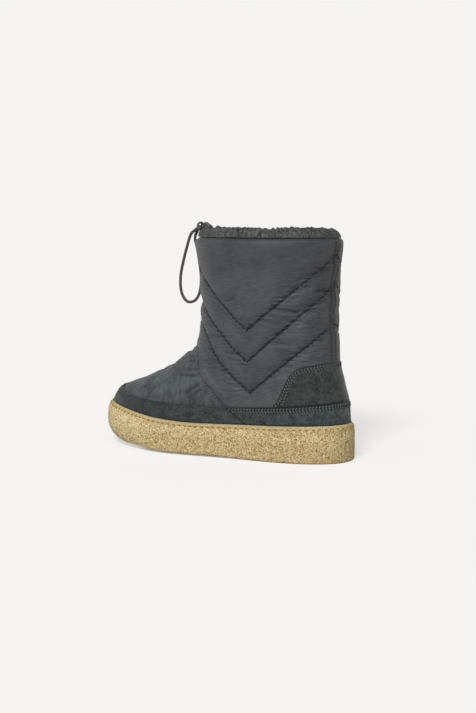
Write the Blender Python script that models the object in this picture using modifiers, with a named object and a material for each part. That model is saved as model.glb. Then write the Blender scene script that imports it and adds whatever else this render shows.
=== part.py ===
"""A left pull-on winter boot: a crepe cup sole, a quilted upper with a suede rand and heel counter,
a gathered collar with a cord lock and a drawcord loop, and an insole.

The toe points along -X, the boot's outer side is -Y and +Z is up. Sizes are in millimetres and become
metres when a mesh is made. The upper, the rand, the counter, the casing and the sole's outline all come
from one surface, the last, which runs through the rows of LAST.
"""

import math
from typing import NamedTuple

import bmesh
import bpy
import numpy as np
from mathutils import Matrix, Vector

MM = 0.001

# Columns round the boot, counted from the toe over the outer side to the heel and back
COLUMNS = 52
SHARP_ANGLE = 50.0

# The last
# Each section is a tilted plane from a front point to a back point. The last five widths say how full
# it is at the toe, the ball, the waist, the seat and the heel, and swing moves its toe to the inner side.


class Section(NamedTuple):
    front_x: float
    front_z: float
    back_x: float
    back_z: float
    toe: float
    ball: float
    waist: float
    seat: float
    heel: float
    swing: float


LAST = (
    Section(-127.5, 16.0, 129.0, 12.0, 62.0, 51.0, 37.5, 50.0, 63.0, 9.0),
    Section(-132.0, 36.0, 132.0, 30.0, 63.0, 52.5, 39.0, 51.5, 64.0, 9.0),
    Section(-132.0, 46.0, 132.0, 44.0, 61.0, 52.5, 40.5, 51.0, 63.0, 9.0),
    Section(-123.5, 56.5, 131.0, 57.0, 54.0, 49.5, 42.0, 50.0, 60.0, 8.5),
    Section(-111.0, 63.0, 126.0, 73.0, 46.0, 45.5, 44.5, 49.0, 56.0, 7.0),
    Section(-85.0, 72.5, 122.0, 90.0, 40.0, 42.5, 47.0, 49.5, 53.0, 5.0),
    Section(-57.0, 86.0, 121.0, 109.0, 37.0, 42.5, 50.0, 51.5, 52.0, 2.5),
    Section(-32.5, 101.5, 121.0, 128.0, 38.0, 45.5, 52.5, 53.0, 52.0, 1.0),
    Section(-23.5, 126.0, 121.5, 146.0, 45.0, 50.0, 54.0, 54.0, 53.0, 0.0),
    Section(-22.5, 153.0, 121.5, 166.0, 50.0, 53.0, 54.5, 54.5, 54.0, 0.0),
    Section(-23.5, 181.0, 122.5, 187.0, 55.0, 55.5, 55.5, 55.5, 55.0, 0.0),
    Section(-26.5, 205.5, 123.5, 206.5, 57.5, 57.5, 57.5, 57.5, 57.5, 0.0),
    Section(-24.0, 211.0, 121.0, 211.0, 55.0, 55.0, 55.0, 55.0, 55.0, 0.0),
)
STATIONS = np.radians((0.0, 60.0, 104.0, 144.0, 180.0))
WALL = 3.5
GAP = 0.3

# Sole
TOE_SPRING = 11.0
SPRING_FROM_X = -38.0
SPRING_LENGTH = 100.0
SPRING_POWER = 1.7
FLOOR_FORE = 14.0
FLOOR_HEEL = 18.0
LIP_HEIGHT = (
    (0.0, 43.6),
    (0.08, 41.8),
    (0.15, 39.6),
    (0.24, 36.2),
    (0.32, 33.8),
    (0.42, 32.2),
    (0.52, 32.2),
    (0.64, 33.1),
    (0.77, 34.1),
    (0.89, 35.3),
    (1.0, 36.1),
)
CUP_OFFSET = 2.2
TOE_SHARE = ((0.0, 1.0), (0.16, 1.0), (0.36, 0.0), (1.0, 0.0))
GROOVE_WIDTH = 3.6
GROOVE_DEPTH = 3.2
GROOVE_PITCH = 26.0
FORE_GROOVES = 5
FORE_GROOVE_X = -104.0
HEEL_GROOVES = 3
HEEL_GROOVE_X = 62.0


class Rung(NamedTuple):
    """One loop of the sole's wall: its height from a named level, and its offset from the last along the
    sides and at the toe, where the lip is drawn in and the wall is round.
    """

    level: str
    rise: float
    offset: float
    toe: float


SOLE_WALL = (
    Rung("floor", 0.0, CUP_OFFSET, CUP_OFFSET),
    Rung("lip", -0.9, CUP_OFFSET, CUP_OFFSET),
    Rung("lip", 0.0, CUP_OFFSET + 0.7, CUP_OFFSET + 0.6),
    Rung("lip", -0.7, 4.9, 3.6),
    Rung("lip", -1.8, 6.0, 4.4),
    Rung("lip", -2.5, 5.8, 4.6),
    Rung("lip", -3.4, 5.9, 5.1),
    Rung("lip", -4.4, 6.7, 6.0),
    Rung("lip", -9.0, 7.1, 7.4),
    Rung("ground", 13.0, 7.2, 7.5),
    Rung("ground", 6.0, 6.6, 6.7),
    Rung("ground", 1.8, 4.6, 4.6),
    Rung("ground", 0.0, 1.8, 1.8),
)

# Rand and heel counter
RAND_THICK = 1.6
RAND_BELOW_LIP = 7.0
RAND_TOP = (
    (0.0, 59.5),
    (0.06, 56.6),
    (0.2, 51.8),
    (0.4, 49.2),
    (0.6, 49.4),
    (0.8, 52.0),
    (0.93, 55.0),
    (1.0, 56.6),
)
RAND_ROWS = 4
COUNTER_THICK = 1.3
COUNTER_TOP = (
    (124.0, 2.5),
    (128.0, 12.0),
    (131.0, 20.5),
    (133.5, 28.5),
    (137.0, 33.5),
    (143.0, 36.0),
    (157.0, 37.0),
    (180.0, 37.4),
)
COUNTER_COLUMNS = 40
COUNTER_ROWS = 5

# Quilting


class Chevron(NamedTuple):
    """One quilting line: its apex's height, its arms' slopes and how much its back arm levels off."""

    apex_height: float
    front_slope: float
    back_slope: float
    back_ease: float


CHEVRONS = (
    Chevron(63.3, 0.92, 0.79, 9.0),
    Chevron(93.3, 0.8, 0.834, 6.0),
    Chevron(124.0, 0.79, 0.8, 6.0),
)
APEX_SHARE = 0.504
APEX_LEAN = 0.03
FRONT_EASE = 17.0
LINE_SLANT = 0.776
SHAFT_DEPTH = 9.0
TROUGH_DEPTH = 2.2
TROUGH_WIDTH = 5.5
SEAM_HEIGHT = 211.0

# Collar casing: each point of its outline is an inset from the shaft and a rise over the seam
CASING = ((3.6, GAP), (4.2, 3.4), (6.4, 6.8), (9.8, 9.3), (12.8, 8.2), (13.4, 4.5), (12.0, GAP))
GATHERS = 13
GATHER_DEPTH = 0.5
BUNCH_RISE = 4.5
BUNCH_FORWARD = 5.5
BUNCH_WIDTH = 13.0

# Cord lock and drawcord
LOCK_CENTRE = (-28.75, 0.0, 221.8)
LOCK_RADII = (4.2, 4.6, 4.4)
CORD_DIAMETER = 3.0
HOLE_DIAMETER = 3.6
HOLE_DEPTH = 2.0
HOLE_SPREAD = 2.2
HOLE_TILT = 35.0
CORD_ROUTE = (
    (-39.4, -1.6, 214.0),
    (-44.2, -1.2, 202.0),
    (-49.4, -0.6, 186.0),
    (-53.0, 0.0, 170.0),
    (-52.0, 0.4, 155.0),
    (-45.5, 0.8, 146.3),
    (-36.8, 1.2, 147.6),
    (-31.4, 1.6, 156.0),
    (-29.8, 1.8, 170.0),
    (-31.6, 2.0, 185.0),
    (-34.6, 2.2, 200.0),
    (-36.9, 2.0, 210.0),
)
CORD_POINTS = 30

# Insole
INSOLE_THICK = 4.0
INSOLE_INSET = 0.6


def smooth_through(knots, values, at):
    """A smooth curve through values at knots that is level at both ends."""
    k = np.asarray(knots, float)
    v = np.asarray(values, float)
    slope = np.zeros(len(k))
    slope[1:-1] = (v[2:] - v[:-2]) / (k[2:] - k[:-2])
    at = np.clip(np.asarray(at, float), k[0], k[-1])
    i = np.clip(np.searchsorted(k, at, side="right") - 1, 0, len(k) - 2)
    h = k[i + 1] - k[i]
    s = (at - k[i]) / h
    return (
        v[i] * (1 + 2 * s) * (1 - s) ** 2
        + v[i + 1] * s**2 * (3 - 2 * s)
        + h * slope[i] * s * (1 - s) ** 2
        - h * slope[i + 1] * s**2 * (1 - s)
    )


def smooth_table(table, at):
    """A smooth curve through the (place, value) rows of a table."""
    return smooth_through([row[0] for row in table], [row[1] for row in table], at)


def along(angle):
    """How far from toe (0) to heel (1) an angle round the boot is."""
    return (1 - np.cos(angle)) / 2


def last_rows(depth):
    """The last's columns at a depth in its table, as one dictionary of arrays."""
    knots = np.arange(len(LAST), dtype=float)
    depth = np.asarray(depth, float)
    rows = {}
    for name in Section._fields:
        values = np.array([getattr(row, name) for row in LAST])
        slope = np.gradient(values)
        at = np.clip(depth, 0.0, knots[-1])
        i = np.clip(at.astype(int), 0, len(LAST) - 2)
        s = at - i
        rows[name] = (
            values[i] * (1 + 2 * s) * (1 - s) ** 2
            + values[i + 1] * s**2 * (3 - 2 * s)
            + slope[i] * s * (1 - s) ** 2
            - slope[i + 1] * s**2 * (1 - s)
        )
    return rows


def last_point(angle, depth):
    """Points of the last at angles round the boot and depths in its table."""
    angle, depth = np.broadcast_arrays(np.asarray(angle, float), np.asarray(depth, float))
    row = last_rows(depth)
    turn = np.mod(angle, 2 * math.pi)
    folded = np.where(turn > math.pi, 2 * math.pi - turn, turn)
    names = ("toe", "ball", "waist", "seat", "heel")
    widths = np.stack([row[name] for name in names])
    i = np.clip(np.searchsorted(STATIONS, folded, side="right") - 1, 0, len(STATIONS) - 2)
    slopes = np.zeros_like(widths)
    for k in range(1, len(STATIONS) - 1):
        slopes[k] = (widths[k + 1] - widths[k - 1]) / (STATIONS[k + 1] - STATIONS[k - 1])
    h = STATIONS[i + 1] - STATIONS[i]
    s = (folded - STATIONS[i]) / h
    low = np.take_along_axis(widths, i[None], 0)[0]
    high = np.take_along_axis(widths, i[None] + 1, 0)[0]
    low_slope = np.take_along_axis(slopes, i[None], 0)[0]
    high_slope = np.take_along_axis(slopes, i[None] + 1, 0)[0]
    full = (
        low * (1 + 2 * s) * (1 - s) ** 2
        + high * s**2 * (3 - 2 * s)
        + h * low_slope * s * (1 - s) ** 2
        - h * high_slope * s**2 * (1 - s)
    )
    t = along(angle)
    x = row["front_x"] + (row["back_x"] - row["front_x"]) * t
    z = row["front_z"] + (row["back_z"] - row["front_z"]) * t
    y = -np.sin(angle) * full + row["swing"] * (1 - t) ** 2 * (1 - 4 * t)
    return np.stack((x, y, z), axis=-1)


def depth_at(angle, height):
    """The depth in the last's table at which its surface has a height, for each angle."""
    angle, height = np.broadcast_arrays(np.asarray(angle, float), np.asarray(height, float))
    fine = np.linspace(0.0, len(LAST) - 1.0, 241)
    row = last_rows(fine)
    t = along(angle)
    flat = np.empty(angle.size)
    for n, (share, z) in enumerate(zip(t.ravel(), height.ravel())):
        heights = row["front_z"] + (row["back_z"] - row["front_z"]) * share
        flat[n] = np.interp(z, heights, fine)
    return flat.reshape(angle.shape)


def last_normal(angle, depth):
    """Outward unit normals of the last."""
    step = 0.01
    deep = np.clip(depth, step, len(LAST) - 1 - step)
    round_it = last_point(angle + step, deep) - last_point(angle - step, deep)
    up_it = last_point(angle, deep + step) - last_point(angle, deep - step)
    normal = np.cross(round_it, up_it)
    normal = normal / np.linalg.norm(normal, axis=-1, keepdims=True)
    return normal


def skin(angle, height, offset):
    """Points at an offset from the last, at angles and heights."""
    depth = depth_at(angle, height)
    return last_point(angle, depth) + last_normal(angle, depth) * np.asarray(offset, float)[..., None]


def ground(x):
    """The height of the sole's underside: flat, with a toe spring."""
    reach = np.clip((SPRING_FROM_X - np.asarray(x, float)) / SPRING_LENGTH, 0.0, None)
    return TOE_SPRING * reach**SPRING_POWER


def floor(x):
    """The height of the cup's floor."""
    share = np.clip((np.asarray(x, float) + 20.0) / 80.0, 0.0, 1.0)
    rise = share * share * (3 - 2 * share)
    return FLOOR_FORE + (FLOOR_HEEL - FLOOR_FORE) * rise + 0.9 * ground(x)


def lip(angle):
    """The height of the sole's lip."""
    return smooth_table(LIP_HEIGHT, along(angle))


def rand_top(angle):
    """The height of the rand's top edge."""
    return smooth_table(RAND_TOP, along(angle))


def counter_top(angle):
    """The height of the counter's top edge above the rand's top edge."""
    turn = np.degrees(np.mod(angle, 2 * math.pi))
    folded = np.where(turn > 180.0, 360.0 - turn, turn)
    return smooth_table(COUNTER_TOP, folded)


def shaft_lengths():
    """The angle and the length round the shaft, for reading one from the other."""
    angle = np.linspace(0.0, 2 * math.pi, 721)
    ring = last_point(angle, SHAFT_DEPTH)[:, :2]
    steps = np.linalg.norm(np.diff(ring, axis=0), axis=1)
    return angle, np.concatenate(([0.0], np.cumsum(steps)))


SHAFT_ANGLE, SHAFT_LENGTH = shaft_lengths()


def round_shaft(angle, depth):
    """How far round the shaft from the front a point of the last is."""
    ends = last_rows(np.maximum(depth, SHAFT_DEPTH - 1.0))
    x = last_point(angle, depth)[..., 0]
    share = np.clip((x - ends["front_x"]) / (ends["back_x"] - ends["front_x"]), 0.0, 1.0)
    return np.interp(np.arccos(1 - 2 * share), SHAFT_ANGLE, SHAFT_LENGTH)


def chevron_height(angle, line):
    """The height of a quilting line: a V on each side, with its apex low."""
    half = np.interp(math.pi, SHAFT_ANGLE, SHAFT_LENGTH)
    apex = half * APEX_SHARE + APEX_LEAN * (line.apex_height - CHEVRONS[1].apex_height)
    height = np.full(np.shape(angle), line.apex_height + 40.0)
    for _ in range(12):
        here = round_shaft(angle, depth_at(angle, height))
        ahead = np.clip(1 - here / apex, 0.0, 1.0)
        behind = np.clip((here - apex) / (half - apex), 0.0, 1.0)
        front_rise = line.front_slope * apex * ahead - FRONT_EASE * ahead**4
        back_rise = line.back_slope * (half - apex) * behind - line.back_ease * behind**4
        height = 0.5 * height + 0.5 * (line.apex_height + front_rise + back_rise)
    return height


def trough(angle, height, lines):
    """How far the quilting lines draw the wall in."""
    pulled = np.zeros(np.shape(height))
    for line in lines:
        away = (height - line) * LINE_SLANT
        pulled = np.maximum(pulled, TROUGH_DEPTH * np.exp(-((away / TROUGH_WIDTH) ** 2)))
    return pulled


def outline(offset, heights):
    """A loop round the boot at an offset from the last in plan."""
    angle = column_angles()
    depth = depth_at(angle, lip(angle))
    base = last_point(angle, depth)
    normal = last_normal(angle, depth)[:, :2]
    normal = normal / np.linalg.norm(normal, axis=1, keepdims=True)
    plan = base[:, :2] + normal * np.reshape(offset, (-1, 1))
    return np.column_stack((plan, heights(plan[:, 0], angle)))


def column_angles():
    """The angle of each column."""
    return np.arange(COLUMNS) * 2 * math.pi / COLUMNS


def clear_scene():
    """Empties the file."""
    for item in list(bpy.data.objects):
        bpy.data.objects.remove(item, do_unlink=True)


def new_collection(name):
    """A collection in the scene."""
    group = bpy.data.collections.new(name)
    bpy.context.scene.collection.children.link(group)
    return group


def new_material(name, colour, roughness):
    """A plain material."""
    material = bpy.data.materials.new(name)
    material.use_nodes = True
    shader = material.node_tree.nodes["Principled BSDF"]
    shader.inputs["Base Color"].default_value = (*colour, 1.0)
    shader.inputs["Roughness"].default_value = roughness
    return material


def loft(name, rows, group, material, wrap=True, across=False, ring=False):
    """An object from rows of points in millimetres.

    wrap joins the last column to the first, across closes the first and last rows by strips from the
    outer side to the inner side, and ring joins the last row to the first.
    """
    bm = bmesh.new()
    grid = [[bm.verts.new(Vector(point) * MM) for point in row] for row in rows]
    count = len(grid[0])
    spans = count if wrap else count - 1
    pairs = [(grid[k], grid[k + 1]) for k in range(len(grid) - 1)]
    if ring:
        pairs.append((grid[-1], grid[0]))
    for low, high in pairs:
        for i in range(spans):
            j = (i + 1) % count
            bm.faces.new((low[i], low[j], high[j], high[i]))
    if across:
        for row in (grid[0], grid[-1]):
            for i in range(count // 2):
                corners = [row[i], row[i + 1], row[(count - i - 1) % count], row[(count - i) % count]]
                unlike = list(dict.fromkeys(corners))
                bm.faces.new(unlike)
    bmesh.ops.recalc_face_normals(bm, faces=bm.faces)
    mesh = bpy.data.meshes.new(name)
    bm.to_mesh(mesh)
    bm.free()
    mesh.shade_smooth()
    mesh.set_sharp_from_angle(angle=math.radians(SHARP_ANGLE))
    thing = bpy.data.objects.new(name, mesh)
    mesh.materials.append(material)
    group.objects.link(thing)
    return thing


def thicken(thing, thickness, side):
    """Gives a skin its thickness; side is 1 for outward and -1 for inward."""
    solidify = thing.modifiers.new("wall", "SOLIDIFY")
    solidify.thickness = thickness * MM
    solidify.offset = side
    solidify.use_rim = True


def face_outward(thing, centre):
    """Turns a skin's faces away from a centre line at a place in millimetres."""
    mesh = thing.data
    middle = Vector(centre) * MM
    total = sum(face.normal.dot(face.center - middle) * face.area for face in mesh.polygons)
    if total < 0:
        mesh.flip_normals()


def upper_heights(angle, lines):
    """The height of each row of the upper, from its lower edge to the collar's seam."""
    edge = floor(last_point(angle, 0.3)[:, 0]) + GAP
    low = lip(angle) - RAND_BELOW_LIP
    top = rand_top(angle)
    rows = [edge]
    rows += [low + (top - low) * k / RAND_ROWS for k in range(RAND_ROWS + 1)]
    for share in (0.14, 0.28, 0.42, 0.56, 0.7, 0.83, 0.93, 1.0):
        rows.append(top + (lines[0] - top) * share)
    for below, above in zip(lines, lines[1:]):
        for share in (0.2, 0.5, 0.8, 1.0):
            rows.append(below + (above - below) * share)
    seam = np.full_like(angle, SEAM_HEIGHT)
    brim = np.maximum(lines[-1] + 2.0, seam - 4.0)
    for share in (0.2, 0.55, 1.0):
        rows.append(lines[-1] + (brim - lines[-1]) * share)
    rows.append(seam)
    return rows


def build_upper(group):
    """The hollow upper: vamp and quilted shaft in one wall."""
    angle = column_angles()
    lines = [chevron_height(angle, line) for line in CHEVRONS]
    rows = []
    for height in upper_heights(angle, lines):
        rows.append(skin(angle, height, -trough(angle, height, lines)))
    material = new_material("quilted nylon", (0.075, 0.082, 0.085), 0.55)
    thing = loft("upper", rows, group, material)
    face_outward(thing, (30.0, 0.0, 110.0))
    thicken(thing, WALL, -1)
    return thing


def build_rand(group):
    """The suede strip round the foot."""
    angle = column_angles()
    low = lip(angle) - RAND_BELOW_LIP
    top = rand_top(angle)
    rows = []
    for k in range(RAND_ROWS + 1):
        height = low + (top - low) * k / RAND_ROWS
        rows.append(skin(angle, height, np.full_like(angle, GAP)))
    material = new_material("rand suede", (0.045, 0.052, 0.052), 0.9)
    thing = loft("rand", rows, group, material)
    face_outward(thing, (0.0, 0.0, 50.0))
    thicken(thing, RAND_THICK, 1)
    return thing


def build_counter(group):
    """The suede patch over the back of the heel."""
    start = math.radians(COUNTER_TOP[0][0])
    angle = np.linspace(start, 2 * math.pi - start, COUNTER_COLUMNS + 1)
    low = rand_top(angle) + GAP
    rise = counter_top(angle)
    rows = []
    for k in range(COUNTER_ROWS + 1):
        height = low + rise * k / COUNTER_ROWS
        rows.append(skin(angle, height, np.full_like(angle, GAP)))
    material = new_material("counter suede", (0.04, 0.045, 0.045), 0.9)
    thing = loft("heel_counter", rows, group, material, wrap=False)
    face_outward(thing, (60.0, 0.0, 75.0))
    thicken(thing, COUNTER_THICK, 1)
    return thing


def rung_heights(rung):
    """The height function of one rung of the sole's wall."""

    def heights(x, angle):
        if rung.level == "floor":
            return floor(x) + rung.rise
        if rung.level == "lip":
            return lip(angle) + rung.rise
        return ground(x) + rung.rise

    return heights


def tread_cutters(group):
    """The bars that cut the tread's grooves across the sole."""
    places = [FORE_GROOVE_X + GROOVE_PITCH * k for k in range(FORE_GROOVES)]
    places += [HEEL_GROOVE_X + GROOVE_PITCH * k for k in range(HEEL_GROOVES)]
    bm = bmesh.new()
    for x in places:
        slope = (ground(x + 1.0) - ground(x - 1.0)) / 2.0
        place = Matrix.Translation(Vector((x, 0.0, float(ground(x)))) * MM)
        tilt = Matrix.Rotation(-math.atan(float(slope)), 4, "Y")
        size = Matrix.Diagonal((GROOVE_WIDTH * MM, 150.0 * MM, 2 * GROOVE_DEPTH * MM, 1.0))
        bmesh.ops.create_cube(bm, size=1.0, matrix=place @ tilt @ size)
    mesh = bpy.data.meshes.new("tread_cutters")
    bm.to_mesh(mesh)
    bm.free()
    cutter = bpy.data.objects.new("tread_cutters", mesh)
    cutter.display_type = "WIRE"
    cutter.hide_render = True
    group.objects.link(cutter)
    return cutter


def build_sole(group, cutters):
    """The cup sole with its lip, stitch groove, toe spring and tread."""
    toe = smooth_table(TOE_SHARE, along(column_angles()))
    rows = []
    for rung in SOLE_WALL:
        rows.append(outline(rung.offset + (rung.toe - rung.offset) * toe, rung_heights(rung)))
    material = new_material("crepe rubber", (0.6, 0.46, 0.23), 0.8)
    thing = loft("sole", rows, group, material, across=True)
    cut = thing.modifiers.new("tread", "BOOLEAN")
    cut.operation = "DIFFERENCE"
    cut.solver = "EXACT"
    cut.object = tread_cutters(cutters)
    return thing


def build_insole(group):
    """The footbed on the cup's floor."""
    inset = -(WALL + INSOLE_INSET)
    rows = []
    for rise, pull in ((GAP, 0.8), (GAP + 1.0, 0.0), (INSOLE_THICK - 1.2, 0.0), (INSOLE_THICK, 1.4)):
        rows.append(insole_loop(inset - pull, rise))
    material = new_material("felt footbed", (0.1, 0.1, 0.1), 0.95)
    return loft("insole", rows, group, material, across=True)


def insole_loop(offset, rise):
    """A loop of the insole inside the upper's lower edge."""
    angle = column_angles()
    depth = depth_at(angle, floor(last_point(angle, 0.3)[:, 0]) + GAP)
    base = last_point(angle, depth)
    normal = last_normal(angle, depth)[:, :2]
    normal = normal / np.linalg.norm(normal, axis=1, keepdims=True)
    plan = base[:, :2] + normal * offset
    return np.column_stack((plan, floor(plan[:, 0]) + rise))


def build_casing(group):
    """The gathered tunnel on the collar's seam."""
    angle = column_angles()
    depth = depth_at(angle, np.full_like(angle, SEAM_HEIGHT - 6.0))
    base = last_point(angle, depth)
    normal = last_normal(angle, depth)[:, :2]
    normal = normal / np.linalg.norm(normal, axis=1, keepdims=True)
    wave = np.cos(np.arange(COLUMNS) * 2 * math.pi * GATHERS / COLUMNS)
    bunch = np.exp(-((base[:, 1] / BUNCH_WIDTH) ** 2)) * (angle_from_front(angle) < 1.2)
    rows = []
    for inset, rise in CASING:
        high = rise / CASING[3][1]
        plan = base[:, :2] - normal * (inset - (GATHER_DEPTH * wave + BUNCH_FORWARD * bunch) * high)[:, None]
        lifted = BUNCH_RISE * bunch + GATHER_DEPTH * wave
        height = SEAM_HEIGHT + rise + lifted * np.clip(high - 0.03, 0.0, 1.0)
        rows.append(np.column_stack((plan, height)))
    material = new_material("casing nylon", (0.07, 0.075, 0.078), 0.5)
    return loft("collar_casing", rows, group, material, ring=True)


def angle_from_front(angle):
    """How far an angle round the boot is from the front, either way."""
    turn = np.mod(angle, 2 * math.pi)
    return np.minimum(turn, 2 * math.pi - turn)


def hole_place(side):
    """The centre of a strand's hole in the lock's face and the direction out of it."""
    tilt = math.radians(HOLE_TILT)
    out = Vector((-math.cos(tilt), 0.0, -math.sin(tilt)))
    across = Vector((0.0, side, 0.0))
    centre = Vector(LOCK_CENTRE) + across * HOLE_SPREAD
    reach = LOCK_RADII[0] * math.sqrt(1 - (HOLE_SPREAD / LOCK_RADII[1]) ** 2)
    return centre + out * reach, out


def build_lock(group, cutters):
    """The ball that the drawcord's strands run into."""
    bm = bmesh.new()
    bmesh.ops.create_uvsphere(bm, u_segments=20, v_segments=12, radius=1.0)
    size = Matrix.Diagonal((LOCK_RADII[0] * MM, LOCK_RADII[1] * MM, LOCK_RADII[2] * MM, 1.0))
    bmesh.ops.transform(bm, matrix=Matrix.Translation(Vector(LOCK_CENTRE) * MM) @ size, verts=bm.verts)
    mesh = bpy.data.meshes.new("cord_lock")
    bm.to_mesh(mesh)
    bm.free()
    mesh.shade_smooth()
    thing = bpy.data.objects.new("cord_lock", mesh)
    mesh.materials.append(new_material("lock plastic", (0.02, 0.02, 0.022), 0.2))
    group.objects.link(thing)
    for side, word in ((-1, "outer"), (1, "inner")):
        centre, out = hole_place(side)
        bm = bmesh.new()
        bmesh.ops.create_cone(
            bm,
            cap_ends=True,
            segments=12,
            radius1=HOLE_DIAMETER / 2 * MM,
            radius2=HOLE_DIAMETER / 2 * MM,
            depth=2 * HOLE_DEPTH * MM,
        )
        turn = out.to_track_quat("Z", "Y").to_matrix().to_4x4()
        bmesh.ops.transform(bm, matrix=Matrix.Translation(centre * MM) @ turn, verts=bm.verts)
        hole = bpy.data.meshes.new(f"{word}_hole")
        bm.to_mesh(hole)
        bm.free()
        cutter = bpy.data.objects.new(f"{word}_hole", hole)
        cutter.display_type = "WIRE"
        cutter.hide_render = True
        cutters.objects.link(cutter)
        cut = thing.modifiers.new(f"{word} hole", "BOOLEAN")
        cut.operation = "DIFFERENCE"
        cut.solver = "EXACT"
        cut.object = cutter
    return thing


def build_cord(group):
    """The drawcord's loop, from one hole of the lock to the other."""
    first, out_first = hole_place(-1)
    last, out_last = hole_place(1)
    start = [first - out_first * (HOLE_DEPTH - 0.5), first + out_first * 2.0]
    end = [last + out_last * 2.0, last - out_last * (HOLE_DEPTH - 0.5)]
    route = np.array([tuple(p) for p in start + [Vector(p) for p in CORD_ROUTE] + end])
    steps = np.linalg.norm(np.diff(route, axis=0), axis=1)
    knots = np.concatenate(([0.0], np.cumsum(np.sqrt(steps))))
    at = np.linspace(0.0, knots[-1], 400)
    fine = np.column_stack([smooth_through(knots, route[:, k], at) for k in range(3)])
    travelled = np.concatenate(([0.0], np.cumsum(np.linalg.norm(np.diff(fine, axis=0), axis=1))))
    even = np.linspace(0.0, travelled[-1], CORD_POINTS)
    points = np.column_stack([np.interp(even, travelled, fine[:, k]) for k in range(3)])
    curve = bpy.data.curves.new("drawcord_loop", "CURVE")
    curve.dimensions = "3D"
    curve.bevel_depth = CORD_DIAMETER / 2 * MM
    curve.bevel_resolution = 2
    curve.use_fill_caps = True
    spline = curve.splines.new("POLY")
    spline.points.add(CORD_POINTS - 1)
    for point, place in zip(spline.points, points):
        point.co = (*(Vector(place) * MM), 1.0)
    curve.materials.append(new_material("cord polyester", (0.035, 0.037, 0.04), 0.7))
    thing = bpy.data.objects.new("drawcord_loop", curve)
    group.objects.link(thing)
    return thing


def build():
    """Builds the boot."""
    clear_scene()
    boot = new_collection("winter_boot")
    cutters = new_collection("cutters")
    build_sole(boot, cutters)
    build_upper(boot)
    build_insole(boot)
    build_rand(boot)
    build_counter(boot)
    build_casing(boot)
    build_lock(boot, cutters)
    build_cord(boot)


build()
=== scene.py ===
"""A quilted pull-on winter boot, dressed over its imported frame.

The toe points along -X, the boot's outer side is -Y and +Z is up. Sizes are in millimetres and become
metres when a mesh is made. Angles round the boot start at the toe and run over the outer side to the heel.
"""

from __future__ import annotations

import logging
import math
from dataclasses import dataclass, field
from enum import Enum
from typing import Callable, NamedTuple, Sequence

import bpy
import numpy as np
from mathutils import Matrix, Vector, noise

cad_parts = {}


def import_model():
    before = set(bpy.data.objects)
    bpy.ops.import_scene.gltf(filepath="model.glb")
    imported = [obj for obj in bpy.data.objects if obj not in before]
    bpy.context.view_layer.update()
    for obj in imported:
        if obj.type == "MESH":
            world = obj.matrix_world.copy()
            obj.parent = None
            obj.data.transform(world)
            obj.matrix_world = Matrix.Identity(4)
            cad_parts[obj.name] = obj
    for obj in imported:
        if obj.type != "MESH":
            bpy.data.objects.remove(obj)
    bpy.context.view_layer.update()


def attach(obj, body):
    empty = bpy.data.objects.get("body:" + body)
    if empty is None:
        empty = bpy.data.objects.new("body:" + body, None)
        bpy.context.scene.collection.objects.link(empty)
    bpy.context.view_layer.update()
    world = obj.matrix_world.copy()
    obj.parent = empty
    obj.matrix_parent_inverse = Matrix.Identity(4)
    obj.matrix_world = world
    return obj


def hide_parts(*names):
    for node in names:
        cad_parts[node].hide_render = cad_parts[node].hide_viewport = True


LOG = logging.getLogger("winter_boot")
MM = 0.001
FULL_TURN = 2 * math.pi
MERGE = 2e-6
BODY = "root"

Array = np.ndarray
Triple = tuple[float, float, float]
Colour = Triple
Table = tuple[tuple[float, float], ...]
Rows = list[tuple[Array, Array]]
Piece = bpy.types.Object
Material = bpy.types.Material
World = bpy.types.World


class Slot(Enum):
    """The material slots."""

    CREPE = "crepe"
    NYLON = "nylon"
    SUEDE = "suede"
    CASING = "casing"
    LOCK = "lock"
    CORD = "cord"
    FOOTBED = "footbed"


class Side(Enum):
    """The two sides of the boot, with the turn that takes an outer angle to that side."""

    OUTER = 1
    INNER = -1

    def angle(self, outer: Array) -> Array:
        """The angle on this side that mirrors an outer angle."""
        return outer if self is Side.OUTER else FULL_TURN - outer


class Level(Enum):
    """What a height of the sole's wall is measured from."""

    LIP = "lip"
    GROUND = "ground"


class Section(NamedTuple):
    """A tilted plane of the last from a front point to a back point, with its fullness at five places."""

    front_x: float
    front_z: float
    back_x: float
    back_z: float
    toe: float
    ball: float
    waist: float
    seat: float
    heel: float
    swing: float


class Rung(NamedTuple):
    """One loop of the sole's wall: its height from a level, and its offsets at the sides, toe and heel."""

    level: Level
    rise: float
    offset: float
    toe: float
    heel: float


class Chevron(NamedTuple):
    """One quilting line: its apex's height, its arms' slopes and how much its back arm levels off."""

    apex_height: float
    front_slope: float
    back_slope: float
    back_ease: float


class Gauge(NamedTuple):
    """A stitch's pitch, length, thickness, slant to its row and place in the pitch."""

    pitch: float
    long: float
    thick: float
    slant_deg: float
    start: float = 0.25


class Crease(NamedTuple):
    """A soft trough with a ridge below it, between two places given by an angle in degrees and a height."""

    from_angle: float
    from_height: float
    to_angle: float
    to_height: float
    depth: float
    width: float
    ridge: float


def bell(value: Array, width: float) -> Array:
    """A smooth hump that is 1 at 0 and fades over a width."""
    return np.exp(-((value / width) ** 2))


def unit(vectors: Array) -> Array:
    """Vectors in the last axis, each made one long."""
    return vectors / np.linalg.norm(vectors, axis=-1, keepdims=True)


def run_along(points: Array) -> Array:
    """How far along a row of points each one is."""
    return np.concatenate(([0.0], np.cumsum(np.linalg.norm(np.diff(points, axis=0), axis=1))))


def read_along(at: Array, gone: Array, values: Array) -> Array:
    """Rows of values, read at places along the way gone."""
    return np.column_stack([np.interp(at, gone, values[:, k]) for k in range(values.shape[1])])


def angles_round(count: int) -> Array:
    """Even angles once round the boot, without the last that meets the first."""
    return np.arange(count) * FULL_TURN / count


def mirrored(row: Array) -> Array:
    """A loop's points, each changed for the one across the boot's middle line."""
    return row[(-np.arange(len(row))) % len(row)]


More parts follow.
